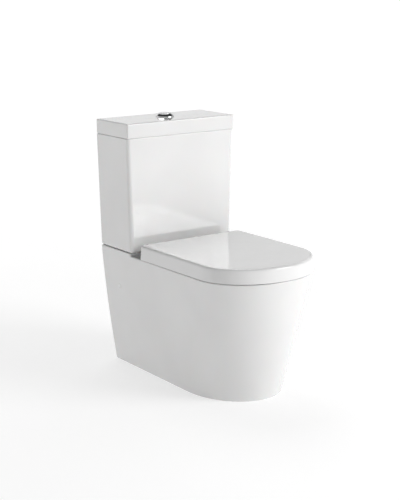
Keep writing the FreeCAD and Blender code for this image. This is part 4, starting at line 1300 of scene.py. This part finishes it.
@dataclass
class Cistern:
    """The china tank with its rounded lower edges and its holes."""

    under: float = 0.377
    rim: float = 0.725
    low_half: float = 0.1855
    top_half: float = 0.1945
    low_depth: float = 0.172
    top_depth: float = 0.177
    wall: float = 0.009
    floor: float = 0.014
    corner: float = 0.012
    rear_corner: float = 0.003
    low_round: float = 0.010
    rim_round: float = 0.002
    floor_round: float = 0.012
    valve_hole: float = 0.031
    fill_hole: float = 0.0112
    wall_hole: float = 0.004
    wall_hole_half: float = 0.120
    wall_hole_height: float = 0.660

    def section(self, height: float, inset: float = 0.0, rear: float = 0.0) -> Slab:
        """Give the tank's outline at a height.

        Args:
            height: Where the tank is cut.
            inset: How far inside the outer face on the sides and the front.
            rear: How far in front of the wall plane the back is.

        Returns:
            The outline.
        """
        share = (height - self.under) / (self.rim - self.under)
        half = self.low_half + (self.top_half - self.low_half) * share
        depth = self.low_depth + (self.top_depth - self.low_depth) * share
        whole = Slab(half, half, WALL, from_wall(depth), self.corner, self.rear_corner)
        return whole.inside(inset, rear)

    def build(self) -> Piece:
        """Cast the tank and bore it."""
        form = Loft("cistern_china")
        for height, inset in sole(self.under, self.low_round, 7):
            form.through(self.section(height, inset, inset * 0.15), height)
        for share in (0.25, 0.5, 0.75):
            height = self.under + (self.rim - self.under) * share
            form.through(self.section(height), height)
        for height, inset in crown(self.rim, self.rim_round, 3):
            form.through(self.section(height, inset, inset * 0.5), height)
        for height, inset in reversed(crown(self.rim, self.rim_round, 3)):
            form.through(self.section(height, self.wall - inset, self.wall - inset), height)
        bottom = self.under + self.floor
        for share in (0.75, 0.5, 0.25):
            height = bottom + (self.rim - bottom) * share
            form.through(self.section(height, self.wall, self.wall), height)
        for height, inset in reversed(sole(bottom, self.floor_round)):
            form.through(self.section(height, self.wall + inset, self.wall + inset), height)
        tank = form.build()
        low, through_floor = 0.370, 0.030
        holes = [
            rod(Axis.Z, self.valve_hole, (0, PLACES.valve, low), through_floor, steps=72),
            rod(Axis.Z, self.fill_hole, (PLACES.fill_valve_x, PLACES.valve, low), through_floor),
        ]
        for side in (1, -1):
            bolt = (side * PLACES.bolt_half, PLACES.valve, low)
            screw = (side * self.wall_hole_half, from_wall(0.012), self.wall_hole_height)
            holes += [rod(Axis.Z, PLACES.bolt_hole, bolt, through_floor),
                      rod(Axis.Y, self.wall_hole, screw, 0.020)]
        for hole in holes:
            Bench.combine(tank, hole, Join.CARVE)
        return Bench.finish(tank)


@dataclass
class CisternLid:
    """The lift-off china lid, with the shadow gap under it and its lip."""

    half: float = 0.195
    depth: float = 0.1785
    low: float = 0.725
    top: float = 0.770
    seam: float = 0.002
    step: float = 0.004
    plate: float = 0.012
    lip: float = 0.009
    lip_half: float = 0.184
    lip_rear: float = 0.0105
    lip_front: float = 0.1665
    lip_wall: float = 0.004
    lip_corner: float = 0.0025
    lip_round: float = 0.0006
    inner_round: float = 0.006
    corner: float = 0.005
    crown_round: float = 0.0045
    edge_round: float = 0.0008
    button_hole: float = 0.0215

    def build(self) -> Piece:
        """Cast the lid from the middle of its underside round to its top."""
        outer = Slab(self.half, self.half, WALL, from_wall(self.depth), self.corner, self.corner)
        lip = Slab(self.lip_half, self.lip_half, from_wall(self.lip_rear),
                   from_wall(self.lip_front), self.lip_corner, self.lip_corner)
        form = Loft("cistern_lid_china")
        ceiling, foot = self.top - self.plate, self.low - self.lip
        inner = lip.inside(self.lip_wall)
        for height, inset in reversed(crown(ceiling, self.inner_round)):
            form.through(inner.inside(inset), height)
        form.through(inner, foot + self.lip_round)
        form.through(inner.inside(-self.lip_round), foot)
        form.through(lip.inside(self.lip_round), foot)
        form.through(lip, foot + self.lip_round)
        form.through(lip, self.low)
        form.through(outer.inside(self.step), self.low)
        form.through(outer.inside(self.step), self.low + self.seam)
        for height, inset in (*sole(self.low + self.seam, self.edge_round, 3),
                              *crown(self.top, self.crown_round, 6)):
            form.through(outer.inside(inset), height)
        lid = form.build()
        hole = rod(Axis.Z, self.button_hole, (0, PLACES.valve, self.top - 0.030), 0.050, steps=72)
        Bench.combine(lid, hole, Join.CARVE)
        return Bench.finish(lid)


# ------------------------------------------------------------------ flush button


@dataclass
class FlushButton:
    """The chrome bezel and the two buttons, split off the middle."""

    lid_top: float = 0.770
    facets: int = 112
    flange: float = 0.0285
    edge: float = 0.0025
    crown: float = 0.0205
    rise: float = 0.0095
    bore: float = 0.0188
    tube: float = 0.021
    length: float = 0.058
    button: float = 0.0185
    button_top: float = 0.012
    button_height: float = 0.020
    split: float = 0.004
    half_gap: float = 0.0003

    def bezel(self) -> Piece:
        """Turn the bezel: a flange, a cone up to the crown and a threaded tube below."""
        corners = (
            (self.bore, -self.length, 0.0003), (self.tube, -self.length, 0.0006),
            (self.tube, 0.0, 0.0), (self.flange, 0.0, 0.0002),
            (self.flange, self.edge, 0.0009), (self.crown + 0.0012, self.rise, 0.0010),
            (self.bore, self.rise, 0.0006))
        centre = (0.0, PLACES.valve, self.lid_top)
        bezel = Turning(corners, centre, steps=self.facets, hollow=True)
        return Bench.finish(bezel.build("button_bezel_chrome"), TURNED_ANGLE)

    def half(self, name: str, side: int) -> Piece:
        """Turn a dished disc, cut it at the split and round the cut.

        Args:
            name: The piece's name.
            side: -1 for the full flush button on the left, 1 for the half flush button.

        Returns:
            The button.
        """
        low, high = self.button_top - self.button_height, self.button_top
        corners = ((0.0, low, 0.0), (self.button, low, 0.0003), (self.button, high, 0.0012),
                   (self.button - 0.006, high - 0.0002, 0.004), (0.0, high - 0.0009, 0.0))
        centre = (0.0, PLACES.valve, self.lid_top)
        disc = Turning(corners, centre, steps=self.facets).build(name)
        cut = self.split + side * self.half_gap
        Bench.edit(disc)
        bpy.ops.mesh.select_all(action="SELECT")
        bpy.ops.mesh.bisect(plane_co=(cut, 0.0, 0.0), plane_no=(1.0, 0.0, 0.0), use_fill=True,
                            clear_inner=side > 0, clear_outer=side < 0)
        top = self.lid_top + high - 0.0025
        Bench.pick_edges(lambda a, b: max(abs(a.x - cut), abs(b.x - cut)) < SAME_PLACE
                         and min(a.z, b.z) > top)
        bpy.ops.mesh.bevel(offset=0.0005, segments=3, affect="EDGES")
        Bench.clear()
        return Bench.finish(Bench.outwards(disc), TURNED_ANGLE)


# ------------------------------------------------------------------ seat and seat lid


@dataclass
class Knuckles:
    """The two hinge knuckles under a seat or a lid, with the webs that carry them."""

    near: float
    width: float = 0.012
    radius: float = 0.011
    bore: float = 0.00405
    web_inset: float = 0.0002

    def fit(self, piece: Piece, web_low: Sequence[float], web_high: Sequence[float]) -> None:
        """Add both knuckles and their webs to a piece, then bore them.

        Args:
            piece: The seat or the lid.
            web_low: Lowest Y and Z of a web.
            web_high: Highest Y and Z of a web.
        """
        starts = (self.near, -self.near - self.width)
        axis, past = (PLACES.hinge, PLACES.hinge_height), 2.0 * MM
        for start in starts:
            web = bar((start + self.web_inset, *web_low),
                      (start + self.width - self.web_inset, *web_high))
            knuckle = rod(Axis.X, self.radius, (start, *axis), self.width, 0.0008, 64)
            Bench.combine(piece, web, Join.ADD)
            Bench.combine(piece, knuckle, Join.ADD)
        for start in starts:
            hole = rod(Axis.X, self.bore, (start - past, *axis), self.width + 2 * past, steps=40)
            Bench.combine(piece, hole, Join.CARVE)


@dataclass
class SeatLid:
    """The lid: a shallow moulded tray with a soft upper edge."""

    low: float = 0.3713
    top: float = 0.413
    low_half: float = 0.189
    top_half: float = 0.184
    rear: float = from_wall(0.214)
    bulge: float = 0.158
    corner: float = 0.018
    taper: float = 0.005
    crown_round: float = 0.007
    edge_round: float = 0.0012
    wall: float = 0.0045
    plate: float = 0.005
    inner_round: float = 0.004
    back_reach: float = 0.060
    belt: float = 0.390
    knuckle_start: float = 0.0858
    swing_radius: float = 0.0213

    def section(self, height: float, inset: float = 0.0, rear_inset: float = 0.0) -> Bow:
        """Give the lid's outline at a height, moved inwards by an inset."""
        share = (height - self.low) / (self.top - self.low)
        half = self.low_half + (self.top_half - self.low_half) * share
        whole = Bow(half, half, self.rear, -WALL + self.taper * share, self.bulge, self.corner)
        return whole.inside(inset, rear_inset)

    def build(self) -> Piece:
        """Mould the outer form, hollow it from below and behind, and add the knuckles."""
        form = Loft("seat_lid_shell")
        for height, inset in (*sole(self.low, self.edge_round, 3), (self.belt, 0.0),
                              *crown(self.top, self.crown_round, 8)):
            form.through(self.section(height, inset, inset), height)
        lid = form.build()
        Bench.combine(lid, self.hollow(), Join.CARVE)
        Bench.combine(lid, self.relief(), Join.CARVE)
        reach = Knuckles.radius
        Knuckles(self.knuckle_start).fit(lid, (PLACES.hinge - reach, PLACES.hinge_height),
                                         (PLACES.hinge + reach, self.top - self.plate + 0.5 * MM))
        return Bench.finish(lid)

    def hollow(self) -> Piece:
        """Make the space inside the tray, which is open at the back."""
        form = Loft("seat_lid_hollow")
        for height, inset in ((self.low - 2.0 * MM, 0.0),
                              *crown(self.top - self.plate, self.inner_round)):
            form.through(self.section(height, self.wall + inset, -self.back_reach), height)
        return form.build()

    def relief(self) -> Piece:
        """Make the room behind the hinge axis that the lid needs to swing up."""
        axis, half = (PLACES.hinge, PLACES.hinge_height), 0.3
        room = bar((-half, PLACES.hinge, 0.34), (half, WALL, PLACES.hinge_height))
        past = half + 0.05
        kept = rod(Axis.X, self.swing_radius, (-past, *axis), 2 * past, steps=96)
        Bench.combine(room, kept, Join.CARVE)
        return room


@dataclass
class Seat:
    """The moulded seat ring, rounded over into its opening."""

    low: float = 0.378
    top: float = 0.400
    half: float = 0.178
    rear: float = from_wall(0.246)
    front: float = -WALL + 0.011
    bulge: float = 0.147
    corner: float = 0.018
    hole: Oval = Oval(0.113, 0.148, from_wall(0.474))
    crown_round: float = 0.007
    under_round: float = 0.0025
    knuckle_start: float = 0.0572
    web_back: float = 0.022

    def build(self) -> Piece:
        """Mould the ring as a closed loop of outlines, then add its knuckles."""
        outer = Bow(self.half, self.half, self.rear, self.front, self.bulge, self.corner)
        form = Loft("seat_ring")
        stations = sole(self.low, self.under_round, 4) + crown(self.top, self.crown_round, 7)
        for height, inset in stations:
            form.through(outer.inside(inset, inset), height)
        for height, inset in reversed(stations):
            form.through(self.hole.inside(-inset), height)
        ring = form.build(looped=True)
        web_low = (PLACES.hinge - self.web_back, PLACES.hinge_height - Knuckles.radius)
        Knuckles(self.knuckle_start).fit(ring, web_low, (PLACES.hinge, self.top - 4.0 * MM))
        return Bench.finish(ring)


@dataclass
class CoverCaps:
    """The domed caps over the side fixing screws."""

    radius: float = 0.006
    depth: float = 0.005

    def build(self) -> Piece:
        """Turn one cap for the right and one for the left."""
        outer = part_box("fixing_cover_caps")[1].x
        caps = []
        for side in (1, -1):
            face = side * self.depth
            corners = ((0.0, 0.0, 0.0), (self.radius, 0.0, 0.0), (self.radius, face, 0.0014),
                       (self.radius * 0.45, face, 0.0018), (0.0, face, 0.0))
            centre = (side * (outer - self.depth), PLACES.side_screw, PLACES.side_screw_height)
            caps.append(Turning(corners, centre, Axis.X, 48).build("fixing_caps"))
        return Bench.finish(Bench.join(caps), TURNED_ANGLE)


# ------------------------------------------------------------------ assembly


@dataclass
class Suite:
    """The whole suite: modelled pieces, and the frame's own pieces dressed."""

    wardrobe: Wardrobe

    def show(self, piece: Piece, slot: str, body: str, *nodes: str) -> None:
        """Dress a modelled piece and put it in the place of the frame's nodes.

        Args:
            piece: The modelled piece.
            slot: Its finish.
            body: The body that it moves with.
            *nodes: The nodes that it stands in for.
        """
        self.wardrobe.dress(piece, slot)
        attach(piece, body)
        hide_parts(*nodes)
        log.info("%s: %d faces, stands in for %s", piece.name, len(piece.data.polygons),
                 ", ".join(nodes))

    def build(self) -> None:
        """Model the china, the seat and the button, then dress what the frame brings."""
        root = "pan_and_cistern"
        self.show(Pan().build(), "china", root, "pan", "pan_bowl", "pan_trapway")
        self.show(Cistern().build(), "china", root, "cistern")
        self.show(CisternLid().build(), "china", "cistern_lid", "cistern_lid")
        button = FlushButton()
        self.show(button.bezel(), "chrome", "cistern_lid", "button_bezel")
        self.show(button.half("full_button_chrome", -1), "chrome", "full_button",
                  "full_flush_button")
        self.show(button.half("half_button_chrome", 1), "chrome", "half_button",
                  "half_flush_button")
        self.show(Seat().build(), "seat_plastic", "seat", "seat")
        self.show(SeatLid().build(), "seat_plastic", "seat_lid", "seat_lid")
        self.show(CoverCaps().build(), "white_trim", root, "fixing_cover_caps")
        for part in frame["record"]["subparts"]:
            piece = frame["nodes"][part["node"]]
            self.wardrobe.dress(piece, part["material_slot"])
            log.info("%s: dressed in %s", piece.name, part["material_slot"])


def main() -> None:
    """Build the suite and the studio."""
    logging.basicConfig(level=logging.INFO, format="%(name)s: %(message)s")
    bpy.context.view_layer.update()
    Suite(Wardrobe()).build()
    Studio().build()


if __name__ == "__main__":
    main()
